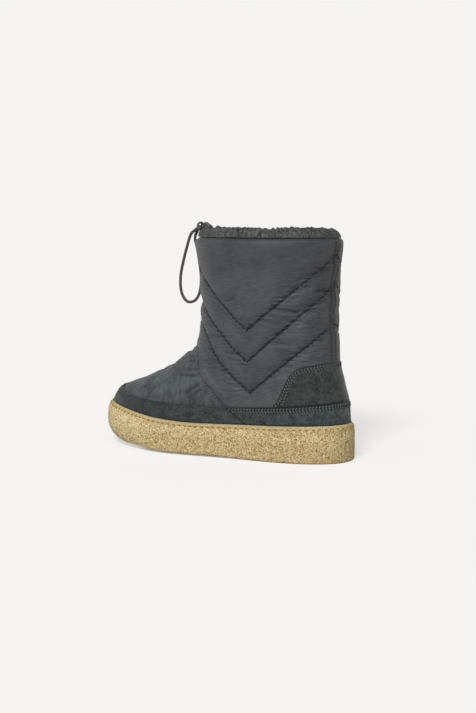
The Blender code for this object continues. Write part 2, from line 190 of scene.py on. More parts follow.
def close_ends(points: Array) -> None:
    """Brings the first and the last loop together on the middle line."""
    for row in (0, -1):
        points[row] = (points[row] + mirrored(points[row])) / 2


def curve(share: Array, low: Array, high: Array, low_slope: Array, high_slope: Array) -> Array:
    """A smooth run from one value to another with a slope at each end.

    Args:
        share: How far along the run, from 0 to 1.
        low: The first value.
        high: The last value.
        low_slope: The slope at the first value.
        high_slope: The slope at the last value.

    Returns:
        The values along the run.
    """
    rest = 1 - share
    steady = low * (1 + 2 * share) * rest**2 + high * share**2 * (3 - 2 * share)
    return steady + low_slope * share * rest**2 - high_slope * share**2 * rest


def smooth_through(knots: Sequence[float], values: Sequence[float], at: Array) -> Array:
    """A smooth curve through values at knots that is level at both ends.

    Args:
        knots: Rising places.
        values: The value at each place.
        at: Where the curve is read.

    Returns:
        The curve's values.
    """
    k = np.asarray(knots, float)
    v = np.asarray(values, float)
    slope = np.zeros(len(k))
    slope[1:-1] = (v[2:] - v[:-2]) / (k[2:] - k[:-2])
    at = np.clip(np.asarray(at, float), k[0], k[-1])
    i = np.clip(np.searchsorted(k, at, side="right") - 1, 0, len(k) - 2)
    h = k[i + 1] - k[i]
    return curve((at - k[i]) / h, v[i], v[i + 1], h * slope[i], h * slope[i + 1])


def smooth_table(table: Table, at: Array) -> Array:
    """A smooth curve through the (place, value) rows of a table."""
    return smooth_through([row[0] for row in table], [row[1] for row in table], at)


def smooth_route(route: Sequence[Sequence[float]], count: int) -> Array:
    """Evenly spaced points on a smooth curve through a route.

    Args:
        route: The points to run through.
        count: How many points to return.

    Returns:
        An array of points.
    """
    points = np.asarray(route, float)
    steps = np.linalg.norm(np.diff(points, axis=0), axis=1)
    knots = np.concatenate(([0.0], np.cumsum(np.sqrt(steps))))
    at = np.linspace(0.0, knots[-1], 20 * len(points))
    fine = np.column_stack([smooth_through(knots, points[:, k], at) for k in range(points.shape[1])])
    gone = run_along(fine)
    return read_along(np.linspace(0.0, gone[-1], count), gone, fine)


def ramp(value: Array, start: float, end: float) -> Array:
    """An eased step from 0 at start to 1 at end."""
    s = np.clip((np.asarray(value, float) - start) / (end - start), 0.0, 1.0)
    return s * s * (3 - 2 * s)


def soft_noise(points: Array, grain: Sequence[float], seed: float) -> Array:
    """Smooth noise from about -1 to 1.

    Args:
        points: Places in millimetres, with three numbers in the last axis.
        grain: The size of a blotch along each axis, in millimetres.
        seed: A shift that gives another pattern.

    Returns:
        One value for each place.
    """
    flat = points.reshape(-1, 3) / np.asarray(grain, float) + 7.31 * seed
    values = np.fromiter((noise.noise(place) for place in flat.tolist()), float, len(flat))
    return values.reshape(points.shape[:-1])


def granules(points: Array, size: float, seed: float) -> Array:
    """Rounded crumbs from 0 in the cracks to 1 on the tops.

    Args:
        points: Places in millimetres, with three numbers in the last axis.
        size: The size of a crumb in millimetres.
        seed: A shift that gives another pattern.

    Returns:
        One value for each place.
    """
    flat = points.reshape(-1, 3) / size + 3.17 * seed
    values = np.empty(len(flat))
    for n, place in enumerate(flat.tolist()):
        near = noise.voronoi(place)[0]
        values[n] = min(1.0, (near[1] - near[0]) * 1.6)
    return values.reshape(points.shape[:-1])


def path_distance(points: Array, path: Array) -> Array:
    """The distance of each point from the nearest piece of a path.

    Args:
        points: Places, with three numbers in the last axis.
        path: The path's points.

    Returns:
        One distance for each place.
    """
    flat = points.reshape(-1, 3)
    best = np.full(len(flat), np.inf)
    for start, end in zip(path, path[1:]):
        run = end - start
        share = np.clip((flat - start) @ run / max(run @ run, 1e-9), 0.0, 1.0)
        gap = flat - start - share[:, None] * run
        best = np.minimum(best, np.einsum("ij,ij->i", gap, gap))
    return np.sqrt(best).reshape(points.shape[:-1])


@dataclass(frozen=True)
class Last:
    """The smooth body that the upper, the strips on it and the sole's outline follow."""

    sections: tuple[Section, ...] = (
        Section(-127.5, 16.0, 129.0, 12.0, 62.0, 51.0, 37.5, 50.0, 63.0, 9.0),
        Section(-132.0, 36.0, 132.0, 30.0, 63.0, 52.5, 39.0, 51.5, 64.0, 9.0),
        Section(-132.0, 46.0, 132.0, 44.0, 61.0, 52.5, 40.5, 51.0, 63.0, 9.0),
        Section(-123.5, 56.5, 131.0, 57.0, 54.0, 49.5, 42.0, 50.0, 60.0, 8.5),
        Section(-111.0, 63.0, 126.0, 73.0, 46.0, 45.5, 44.5, 49.0, 56.0, 7.0),
        Section(-85.0, 72.5, 122.0, 90.0, 40.0, 42.5, 47.0, 49.5, 53.0, 5.0),
        Section(-57.0, 86.0, 121.0, 109.0, 37.0, 42.5, 50.0, 51.5, 52.0, 2.5),
        Section(-32.5, 101.5, 121.0, 128.0, 38.0, 45.5, 52.5, 53.0, 52.0, 1.0),
        Section(-23.5, 126.0, 121.5, 146.0, 45.0, 50.0, 54.0, 54.0, 53.0, 0.0),
        Section(-22.5, 153.0, 121.5, 166.0, 50.0, 53.0, 54.5, 54.5, 54.0, 0.0),
        Section(-23.5, 181.0, 122.5, 187.0, 55.0, 55.5, 55.5, 55.5, 55.0, 0.0),
        Section(-26.5, 205.5, 123.5, 206.5, 57.5, 57.5, 57.5, 57.5, 57.5, 0.0),
        Section(-24.0, 211.0, 121.0, 211.0, 55.0, 55.0, 55.0, 55.0, 55.0, 0.0),
    )
    stations_deg: tuple[float, ...] = (0.0, 60.0, 104.0, 144.0, 180.0)

    @property
    def top(self) -> float:
        """The depth of the highest section."""
        return len(self.sections) - 1.0

    def column(self, name: str, depth: Array) -> Array:
        """One column of the sections, read smoothly at a depth.

        Args:
            name: The column's name.
            depth: Places between sections, from the lowest.

        Returns:
            The column's values.
        """
        values = np.array([getattr(row, name) for row in self.sections])
        slope = np.gradient(values)
        at = np.clip(np.asarray(depth, float), 0.0, self.top)
        i = np.clip(at.astype(int), 0, len(values) - 2)
        return curve(at - i, values[i], values[i + 1], slope[i], slope[i + 1])

    @staticmethod
    def along(angle: Array) -> Array:
        """How far from toe (0) to heel (1) an angle round the boot is."""
        return (1 - np.cos(angle)) / 2

    def point(self, angle: Array, depth: Array) -> Array:
        """Points of the last at angles round the boot and depths in its table.

        Args:
            angle: Angles round the boot.
            depth: Places between sections, from the lowest.

        Returns:
            Points in millimetres.
        """
        angle, depth = np.broadcast_arrays(np.asarray(angle, float), np.asarray(depth, float))
        stations = np.radians(self.stations_deg)
        turn = np.mod(angle, FULL_TURN)
        folded = np.where(turn > math.pi, FULL_TURN - turn, turn)
        widths = np.stack([self.column(name, depth) for name in ("toe", "ball", "waist", "seat", "heel")])
        slopes = np.zeros_like(widths)
        for k in range(1, len(stations) - 1):
            slopes[k] = (widths[k + 1] - widths[k - 1]) / (stations[k + 1] - stations[k - 1])
        i = np.clip(np.searchsorted(stations, folded, side="right") - 1, 0, len(stations) - 2)
        h = stations[i + 1] - stations[i]
        low, high = (np.take_along_axis(widths, i[None] + k, 0)[0] for k in (0, 1))
        low_slope, high_slope = (h * np.take_along_axis(slopes, i[None] + k, 0)[0] for k in (0, 1))
        full = curve((folded - stations[i]) / h, low, high, low_slope, high_slope)
        t = self.along(angle)
        front_x, back_x = self.column("front_x", depth), self.column("back_x", depth)
        front_z, back_z = self.column("front_z", depth), self.column("back_z", depth)
        x = front_x + (back_x - front_x) * t
        y = -np.sin(angle) * full + self.column("swing", depth) * (1 - t) ** 2 * (1 - 4 * t)
        z = front_z + (back_z - front_z) * t
        return np.stack((x, y, z), axis=-1)

    def depth_at(self, angle: Array, height: Array) -> Array:
        """The depth at which the surface has a height, for each angle.

        Args:
            angle: Angles round the boot.
            height: Heights over the ground.

        Returns:
            Places between sections.
        """
        angle, height = np.broadcast_arrays(np.asarray(angle, float), np.asarray(height, float))
        fine = np.linspace(0.0, self.top, 961)
        front_z, back_z = self.column("front_z", fine), self.column("back_z", fine)
        low = np.zeros(angle.shape)
        high = np.full(angle.shape, self.top)
        t = self.along(angle)
        for _ in range(22):
            middle = (low + high) / 2
            z = np.interp(middle, fine, front_z) * (1 - t) + np.interp(middle, fine, back_z) * t
            under = z < height
            low = np.where(under, middle, low)
            high = np.where(under, high, middle)
        return (low + high) / 2

    def normal(self, angle: Array, depth: Array) -> Array:
        """Outward unit normals of the last.

        Args:
            angle: Angles round the boot.
            depth: Places between sections.

        Returns:
            Vectors one long.
        """
        step = 0.01
        deep = np.clip(depth, step, self.top - step)
        round_it = self.point(angle + step, deep) - self.point(angle - step, deep)
        up_it = self.point(angle, deep + step) - self.point(angle, deep - step)
        return unit(np.cross(round_it, up_it))

    def skin(self, angle: Array, height: Array, offset: Array | float) -> Array:
        """Points at an offset from the last.

        Args:
            angle: Angles round the boot.
            height: Heights over the ground.
            offset: How far out from the last.

        Returns:
            Points in millimetres.
        """
        angle, height = np.broadcast_arrays(np.asarray(angle, float), np.asarray(height, float))
        depth = self.depth_at(angle, height)
        out = np.broadcast_to(np.asarray(offset, float), angle.shape)
        return self.point(angle, depth) + self.normal(angle, depth) * out[..., None]


@dataclass(frozen=True)
class BootShape:
    """The edges and levels that several pieces share."""

    last: Last = field(default_factory=Last)
    wall: float = 3.5
    gap: float = 0.3
    toe_spring: float = 11.0
    spring_from_x: float = -38.0
    spring_length: float = 100.0
    spring_power: float = 1.7
    floor_fore: float = 14.0
    floor_heel: float = 18.0
    lip_height: Table = (
        (0.0, 43.6), (0.08, 41.8), (0.15, 39.6), (0.24, 36.2), (0.32, 33.8), (0.42, 32.2),
        (0.52, 32.2), (0.64, 33.1), (0.77, 34.1), (0.89, 35.3), (1.0, 36.1),
    )
    rand_edge: Table = (
        (0.0, 57.4), (0.06, 55.2), (0.2, 51.6), (0.4, 49.2), (0.6, 49.4), (0.8, 52.0), (0.93, 55.0),
        (1.0, 56.6),
    )
    rand_below_lip: float = 7.0
    counter_edge: Table = (
        (124.0, 2.5), (128.0, 12.0), (131.0, 20.5), (133.5, 28.5), (137.0, 33.5), (143.0, 36.0),
        (157.0, 37.0), (180.0, 37.4),
    )
    chevrons: tuple[Chevron, ...] = (
        Chevron(63.3, 0.92, 0.79, 9.0),
        Chevron(93.3, 0.8, 0.834, 6.0),
        Chevron(124.0, 0.79, 0.8, 6.0),
    )
    apex_share: float = 0.504
    apex_lean: float = 0.03
    front_ease: float = 17.0
    line_slant: float = 0.776
    shaft_depth: float = 9.0
    seam_height: float = 211.0
    vamp_line: Table = (
        (-60.0, 107.0), (-32.0, 105.5), (-15.0, 103.5), (-7.5, 92.5), (-3.8, 81.0), (2.6, 74.0),
        (11.6, 65.0), (21.0, 53.5), (25.5, 47.0),
    )

    def ground(self, x: Array) -> Array:
        """The height of the sole's underside: flat, with a toe spring."""
        reach = np.clip((self.spring_from_x - np.asarray(x, float)) / self.spring_length, 0.0, None)
        return self.toe_spring * reach**self.spring_power

    def floor(self, x: Array) -> Array:
        """The height of the cup's floor."""
        rise = ramp(x, -20.0, 60.0)
        return self.floor_fore + (self.floor_heel - self.floor_fore) * rise + 0.9 * self.ground(x)

    def lip(self, angle: Array) -> Array:
        """The height of the sole's lip."""
        return smooth_table(self.lip_height, Last.along(angle))

    def rand_top(self, angle: Array) -> Array:
        """The height of the rand's top edge."""
        return smooth_table(self.rand_edge, Last.along(angle))

    def counter_rise(self, angle: Array) -> Array:
        """The height of the counter's top edge above the rand's top edge."""
        turn = np.degrees(np.mod(angle, FULL_TURN))
        return smooth_table(self.counter_edge, np.where(turn > 180.0, 360.0 - turn, turn))

    def girth(self) -> tuple[Array, Array]:
        """Angles from the shaft's front to its back and how far round each is."""
        turn = np.linspace(0.0, math.pi, 361)
        return turn, run_along(self.last.point(turn, self.shaft_depth)[:, :2])

    def round_shaft(self, angle: Array, depth: Array) -> Array:
        """How far round the shaft from the front a point of the last is.

        Args:
            angle: Angles round the boot.
            depth: Places between sections.

        Returns:
            Distances in millimetres.
        """
        turn, gone = self.girth()
        deep = np.maximum(depth, self.shaft_depth - 1.0)
        front_x, back_x = self.last.column("front_x", deep), self.last.column("back_x", deep)
        x = self.last.point(angle, depth)[..., 0]
        share = np.clip((x - front_x) / (back_x - front_x), 0.0, 1.0)
        return np.interp(np.arccos(1 - 2 * share), turn, gone)

    def chevron_height(self, angle: Array, line: Chevron) -> Array:
        """The height of a quilting line: a V on each side, with its apex low.

        Args:
            angle: Angles round the boot.
            line: The quilting line.

        Returns:
            Heights over the ground.
        """
        half = float(self.girth()[1][-1])
        apex = half * self.apex_share + self.apex_lean * (line.apex_height - self.chevrons[1].apex_height)
        height = np.full(np.shape(angle), line.apex_height + 40.0)
        for _ in range(12):
            here = self.round_shaft(angle, self.last.depth_at(angle, height))
            ahead = np.clip(1 - here / apex, 0.0, 1.0)
            behind = np.clip((here - apex) / (half - apex), 0.0, 1.0)
            front_rise = line.front_slope * apex * ahead - self.front_ease * ahead**4
            back_rise = line.back_slope * (half - apex) * behind - line.back_ease * behind**4
            height = 0.5 * height + 0.5 * (line.apex_height + front_rise + back_rise)
        return height

    def outline(self, angle: Array, offset: Array | float) -> Array:
        """A loop round the boot in plan at an offset from the last at the lip's height.

        Args:
            angle: Angles round the boot.
            offset: How far out from the last.

        Returns:
            Points in plan.
        """
        depth = self.last.depth_at(angle, self.lip(angle))
        flat = unit(self.last.normal(angle, depth)[..., :2])
        return self.last.point(angle, depth)[..., :2] + flat * offset


class Value:
    """A shader socket that takes part in Python arithmetic."""

    def __init__(self, sheet: ShaderSheet, socket: bpy.types.NodeSocket) -> None:
        """Wraps an output socket of a sheet."""
        self.sheet = sheet
        self.socket = socket

    def _maths(self, operation: str, first: object, second: object) -> Value:
        """A Math node on two numbers."""
        return self.sheet.node("ShaderNodeMath", {"operation": operation}, {0: first, 1: second})

    def __add__(self, other: object) -> Value:
        """Adds."""
        return self._maths("ADD", self, other)

    def __sub__(self, other: object) -> Value:
        """Subtracts."""
        return self._maths("SUBTRACT", self, other)

    def __rsub__(self, other: object) -> Value:
        """Subtracts, reflected."""
        return self._maths("SUBTRACT", other, self)

    def __mul__(self, other: object) -> Value:
        """Multiplies."""
        return self._maths("MULTIPLY", self, other)

    __radd__ = __add__
    __rmul__ = __mul__

    def sine(self) -> Value:
        """The sine."""
        return self._maths("SINE", self, 0.0)

    def step(self, start: float, end: float, low: float = 0.0, high: float = 1.0) -> Value:
        """An eased step from low at start to high at end."""
        inputs = {"Value": self, "From Min": start, "From Max": end, "To Min": low, "To Max": high}
        return self.sheet.node("ShaderNodeMapRange", {"interpolation_type": "SMOOTHSTEP"}, inputs)


class ShaderSheet:
    """A material, or a sky, under construction."""

    def __init__(self, name: str, sky: bool = False) -> None:
        """Starts a material with a Principled shader, or a sky with a Background shader.

        Args:
            name: The material's or sky's name.
            sky: Whether it is a sky.
        """
        self.made = (bpy.data.worlds if sky else bpy.data.materials).new(name)
        self.made.use_nodes = True
        self.tree = self.made.node_tree
        self.shader = self.tree.nodes["Background" if sky else "Principled BSDF"]

    def node(
        self,
        kind: str,
        settings: dict[str, object] | None = None,
        inputs: dict[str | int, object] | None = None,
        output: str | int = 0,
    ) -> Value:
        """Adds a node.

        Args:
            kind: The node's type.
            settings: Its settings, set first.
            inputs: Numbers, colours or values for its sockets, by name or number.
            output: The output that the value reads.

        Returns:
            The output as a value.
        """
        made = self.tree.nodes.new(kind)
        for name, setting in (settings or {}).items():
            setattr(made, name, setting)
        for name, given in (inputs or {}).items():
            self.plug(made.inputs[name], given)
        return Value(self, made.outputs[output])

    def plug(self, socket: bpy.types.NodeSocket, given: object) -> None:
        """Links a value to a socket, or sets a number, vector or colour on it.

        Args:
            socket: The socket.
            given: A value, number, vector or colour.
        """
        if isinstance(given, Value):
            self.tree.links.new(given.socket, socket)
        elif isinstance(given, tuple) and len(given) == 3 and socket.type == "RGBA":
            socket.default_value = (*given, 1.0)
        else:
            socket.default_value = given

    def place(self, scale: Triple = (1.0, 1.0, 1.0)) -> Value:
        """Object coordinates in metres, stretched."""
        here = self.node("ShaderNodeTexCoord", output="Object")
        return self.node("ShaderNodeMapping", None, {"Vector": here, "Scale": scale})

    def surface(self, axis: int) -> Value:
        """One axis of the piece's own UV map."""
        here = self.node("ShaderNodeTexCoord", output="UV")
        return self.node("ShaderNodeSeparateXYZ", None, {0: here}, axis)

    def attribute(self, name: str) -> Value:
        """A number kept on the mesh."""
        return self.node("ShaderNodeAttribute", {"attribute_name": name}, None, "Fac")

    def cloud(self, where: Value, scale: float, detail: float = 3.0, rough: float = 0.55) -> Value:
        """Noise from 0 to 1."""
        inputs = {"Vector": where, "Scale": scale, "Detail": detail, "Roughness": rough}
        return self.node("ShaderNodeTexNoise", None, inputs)

    def cells(self, where: Value, scale: float, output: str = "Distance") -> Value:
        """A pattern of cells."""
        return self.node("ShaderNodeTexVoronoi", None, {"Vector": where, "Scale": scale}, output)

    def blend(self, share: Value | float, first: object, second: object) -> Value:
        """A mix of two colours."""
        return self.node("ShaderNodeMix", {"data_type": "RGBA"}, {0: share, 6: first, 7: second}, 2)

    def bump(self, height: Value, distance: float, strength: float = 1.0) -> Value:
        """A bump of a height in metres."""
        inputs = {"Height": height, "Distance": distance, "Strength": strength}
        return self.node("ShaderNodeBump", None, inputs)

    def dress(self, **sockets: object) -> Material | World:
        """Sets the shader's sockets.

        Args:
            sockets: Numbers, colours or values by the sockets' names, with _ for a space.

        Returns:
            The finished material or sky.
        """
        for name, given in sockets.items():
            self.plug(self.shader.inputs[name.replace("_", " ").title().replace("Ior", "IOR")], given)
        return self.made


@dataclass(frozen=True)
class Nylon:
    """Dull dark woven nylon: cross slub on the shaft, streaks up the vamp, and painted shade in its grooves,
    creases and crinkles.
    """

    name: str
    dark: Colour
    light: Colour
    # the vamp's colours are a lighter, more teal copy of the shaft's nylon: partly its own tint, partly
    # painted light on the upward-facing vamp
    vamp_dark: Colour = (0.0135, 0.0176, 0.0178)
    vamp_light: Colour = (0.0545, 0.067, 0.0673)
    # fold: the near-black that the painted shade darkens the cloth towards
    fold: Colour = (0.004, 0.004, 0.005)
    roughness: float = 0.5
    crinkle: Triple = (95.0, 95.0, 360.0)
    crinkle_depth: float = 0.005
    threads_round: float = 820.0
    threads_up: float = 520.0

    def make(self) -> Material:
        """Builds the material.

        Returns:
            The material.
        """
        s = ShaderSheet(self.name)
        slub = s.cloud(s.place((150.0, 150.0, 1000.0)), 1.0, 4.0, 0.6)
        streak = s.cloud(s.place((330.0, 330.0, 60.0)), 1.0, 4.0, 0.6)
        blotch = s.cloud(s.place(), 55.0, 3.0)
        vamp = s.attribute("vamp")
        grain = slub + (streak - slub) * vamp
        tone = (grain * 0.6 + blotch * 0.4).step(0.36, 0.64)
        shaft_cloth = s.blend(tone, self.dark, self.light)
        vamp_cloth = s.blend(tone, self.vamp_dark, self.vamp_light)
        cloth = s.blend(vamp, shaft_cloth, vamp_cloth)
        gather = s.attribute("gather")
        crinkle = s.cloud(s.place(self.crinkle), 1.0, 3.0, 0.5)
        # painted shade in the valleys of the crinkles, where the cloth gathers
        crinkle_shade = (1 - crinkle.step(0.34, 0.54)) * gather * 0.4
        # painted shade: the groove attribute and the crinkle valleys darken the cloth towards the fold
        # colour
        colour = s.blend(s.attribute("groove") + crinkle_shade, cloth, self.fold)
        weft = (s.surface(0) * (FULL_TURN * self.threads_round)).sine()
        warp = (s.surface(1) * (FULL_TURN * self.threads_up)).sine()
        weave = weft * warp * 0.5 + grain * 1.6
        relief = weave * 0.00012 + crinkle * gather * self.crinkle_depth
        return s.dress(
            base_color=colour,
            roughness=self.roughness + blotch * 0.16,
            normal=s.bump(relief, 1.0, 0.6),
            sheen_weight=0.06,
            sheen_roughness=0.5,
            specular_ior_level=0.4,
        )


@dataclass(frozen=True)
class Suede:
    """Napped leather with brushed patches, dark cut edges and painted shade, both through its edge
    attribute.
    """

    name: str
    dark: Colour
    light: Colour
    # cut: the near-black of the cut edges, also the colour of the painted shade
    cut: Colour = (0.004, 0.005, 0.005)

    def make(self) -> Material:
        """Builds the material.

        Returns:
            The material.
        """
        s = ShaderSheet(self.name)
        brushed = s.cloud(s.place((1.0, 1.0, 1.6)), 110.0, 5.0, 0.62)
        nap = s.cloud(s.place(), 1500.0, 2.0)
        fibre = s.cloud(s.place((1.0, 1.0, 0.6)), 640.0, 3.0, 0.6)
        tone = (brushed * 0.46 + fibre * 0.36 + nap * 0.18).step(0.38, 0.62)
        colour = s.blend(s.attribute("edge"), s.blend(tone, self.dark, self.light), self.cut)
        height = fibre * 0.7 + nap * 0.4 + brushed * 0.5
        return s.dress(
            base_color=colour,
            roughness=0.86 + nap * 0.12,
            normal=s.bump(height, 0.0005, 0.7),
            sheen_weight=0.15,
            sheen_roughness=0.45,
            specular_ior_level=0.2,
        )


@dataclass(frozen=True)
class Crepe:
    """Crumbled natural rubber, smoother along the lip, with painted shade in its crevices."""

    name: str = "crepe rubber"
    crumbs_per_metre: float = 1000.0
    gaps_per_metre: float = 780.0
    # the dark colour of the painted shade in the crevices and of the sole's painted light and shade
    crevice_shade: Colour = (0.15, 0.088, 0.027)
    crumb: Colour = (0.262, 0.19, 0.084)
    pale: Colour = (0.531, 0.44, 0.242)
    lip_low: Colour = (0.25, 0.185, 0.081)
    lip_high: Colour = (0.36, 0.291, 0.149)

    def make(self) -> Material:
        """Builds the material.

        Returns:
            The material.
        """
        s = ShaderSheet(self.name)
        crumb = s.attribute("crumb")
        lip = s.attribute("lip")
        tint = s.cells(s.place(), self.crumbs_per_metre, "Color")
        each = s.node("ShaderNodeSeparateXYZ", None, {0: tint}, 0)
        drift = s.cloud(s.place(), 90.0, 4.0)
        fine = s.cloud(s.place(), 1500.0, 3.0, 0.65)
        gaps = s.cells(s.place(), self.gaps_per_metre)
        tops = s.blend((each * 0.56 + drift * 0.08 + fine * 0.36).step(0.2, 0.8), self.crumb, self.pale)
        # painted shade: dark in the cell gaps and in the hollows between the crumbs, plus the sole's painted
        # light and shade
        dark = gaps.step(0.56, 0.88) * 0.85 + (1 - crumb.step(0.0, 0.3)) * 0.4 + s.attribute("painted_light_and_shade")
        rough_part = s.blend(dark, tops, self.crevice_shade)
        band = s.blend((fine * 0.6 + each * 0.4).step(0.25, 0.75), self.lip_low, self.lip_high)
        colour = s.blend(lip, rough_part, band)
        return s.dress(
            base_color=colour,
            roughness=0.78 + fine * 0.14,
            normal=s.bump(fine * 0.5 + each * 0.3 + crumb * 0.3 - gaps * 0.5, 0.0005, 0.7),
            specular_ior_level=0.3,
        )


@dataclass(frozen=True)
class Thread:
    """Twisted sewing thread."""

    name: str
    dark: Colour
    light: Colour

    def make(self) -> Material:
        """Builds the material.

        Returns:
            The material.
        """
        s = ShaderSheet(self.name)
        twist = s.cloud(s.place((1.0, 1.0, 2.4)), 1500.0, 2.0)
        colour = s.blend(twist.step(0.3, 0.7), self.dark, self.light)
        return s.dress(
            base_color=colour,
            roughness=0.6 + twist * 0.2,
            normal=s.bump(twist, 0.0001, 0.5),
            specular_ior_level=0.3,
        )


@dataclass(frozen=True)
class Braid:
    """Round braided cord: strands cross along the piece's own UV map."""

    name: str = "cord braid"
    dark: Colour = (0.018, 0.018, 0.0165)
    light: Colour = (0.085, 0.083, 0.076)
    strands: float = 4.0
    crossings: float = 62.0

    def make(self) -> Material:
        """Builds the material.

        Returns:
            The material.
        """
        s = ShaderSheet(self.name)
        across = s.surface(0) * (FULL_TURN * self.strands)
        along = s.surface(1) * (FULL_TURN * self.crossings)
        over = (across + along).sine() * (across - along).sine()
        fuzz = s.cloud(s.place(), 2600.0, 2.0)
        tone = (over * 0.4 + fuzz * 0.6).step(0.0, 0.8)
        return s.dress(
            base_color=s.blend(tone, self.dark, self.light),
            roughness=0.66 + fuzz * 0.2,
            normal=s.bump(over * 0.5 + fuzz * 0.3, 0.0003, 0.6),
            specular_ior_level=0.3,
        )


@dataclass(frozen=True)
class LockPlastic:
    """Moulded dark plastic with a high gloss and faint scuffs."""

    name: str = "lock plastic"
    dark: Colour = (0.026, 0.025, 0.021)
    worn: Colour = (0.06, 0.057, 0.05)

    def make(self) -> Material:
        """Builds the material.

        Returns:
            The material.
        """
        s = ShaderSheet(self.name)
        scuff = s.cloud(s.place((1.0, 2.5, 1.0)), 900.0, 4.0, 0.7)
        haze = s.cloud(s.place(), 260.0, 2.0)
        return s.dress(
            base_color=s.blend(scuff.step(0.5, 0.8), self.dark, self.worn),
            roughness=0.16 + haze * 0.1,
            normal=s.bump(scuff, 0.00003, 0.4),
            specular_ior_level=0.7,
            coat_weight=0.25,
            coat_roughness=0.06,
        )


@dataclass(frozen=True)
class Fleece:
    """Short curly pile."""

    name: str
    dark: Colour
    light: Colour
    curl: float = 380.0

    def make(self) -> Material:
        """Builds the material.

        Returns:
            The material.
        """
        s = ShaderSheet(self.name)
        curls = s.cells(s.place(), self.curl)
        fluff = s.cloud(s.place(), 900.0, 4.0, 0.65)
        tone = (1.0 - curls * 0.8) * 0.6 + fluff * 0.4
        return s.dress(
            base_color=s.blend(tone.step(0.25, 0.8), self.dark, self.light),
            roughness=0.9 + fluff * 0.08,
            normal=s.bump(fluff - curls * 0.8, 0.0012, 0.7),
            sheen_weight=0.3,
            sheen_roughness=0.6,
            specular_ior_level=0.15,
        )


@dataclass(frozen=True)
class PaleGround:
    """A plain pale studio floor, lit from within so that shadows stay faint, with a contact shadow painted
    into its glow near the boot.
    """

    name: str = "studio floor"
    colour: Colour = (0.28, 0.2775, 0.273)
    glow: Colour = (0.554, 0.549, 0.54)
    # the colour of the painted contact shadow
    contact_shadow: Colour = (0.22, 0.216, 0.21)
    contact_reach: float = 0.007

    def make(self) -> Material:
        """Builds the material.

        Returns:
            The material.
        """
        s = ShaderSheet(self.name)
        settings = {"samples": 16}
        clear = s.node("ShaderNodeAmbientOcclusion", settings, {"Distance": self.contact_reach}, "AO")
        return s.dress(
            base_color=self.colour,
            roughness=1.0,
            specular_ior_level=0.0,
            # painted contact shadow: the glow turns to the contact colour where the boot is close
            emission_color=s.blend(clear.step(0.0, 0.3), self.contact_shadow, self.glow),
            emission_strength=1.0,
        )


def deselect() -> None:
    """Leaves nothing selected."""
    bpy.ops.object.select_all(action="DESELECT")


def make_active(thing: Piece) -> None:
    """Selects one object alone and makes it the active one.

    Args:
        thing: The object.
    """
    deselect()
    thing.select_set(True)
    bpy.context.view_layer.objects.active = thing


def apply_modifier(thing: Piece, kind: str, **settings: object) -> None:
    """Adds a modifier with its settings and applies it.

    Args:
        thing: The piece.
        kind: The modifier's type.
        settings: The modifier's settings.
    """
    made = thing.modifiers.new(kind.lower(), kind)
    for name, setting in settings.items():
        setattr(made, name, setting)
    make_active(thing)
    bpy.ops.object.modifier_apply(modifier=made.name)


def edit_all(thing: Piece, work: Callable[..., set[str]], **settings: object) -> None:
    """Runs an edit-mode operator on all of a mesh.

    Args:
        thing: The mesh's object.
        work: The operator.
        settings: The operator's settings.
    """
    make_active(thing)
    bpy.ops.object.mode_set(mode="EDIT")
    bpy.ops.mesh.select_all(action="SELECT")
    work(**settings)
    bpy.ops.object.mode_set(mode="OBJECT")


def round_edges(thing: Piece, width: float, angle_deg: float) -> None:
    """Bevels the edges that are sharper than an angle."""
    limit = math.radians(angle_deg)
    apply_modifier(thing, "BEVEL", width=width * MM, segments=2, limit_method="ANGLE", angle_limit=limit)


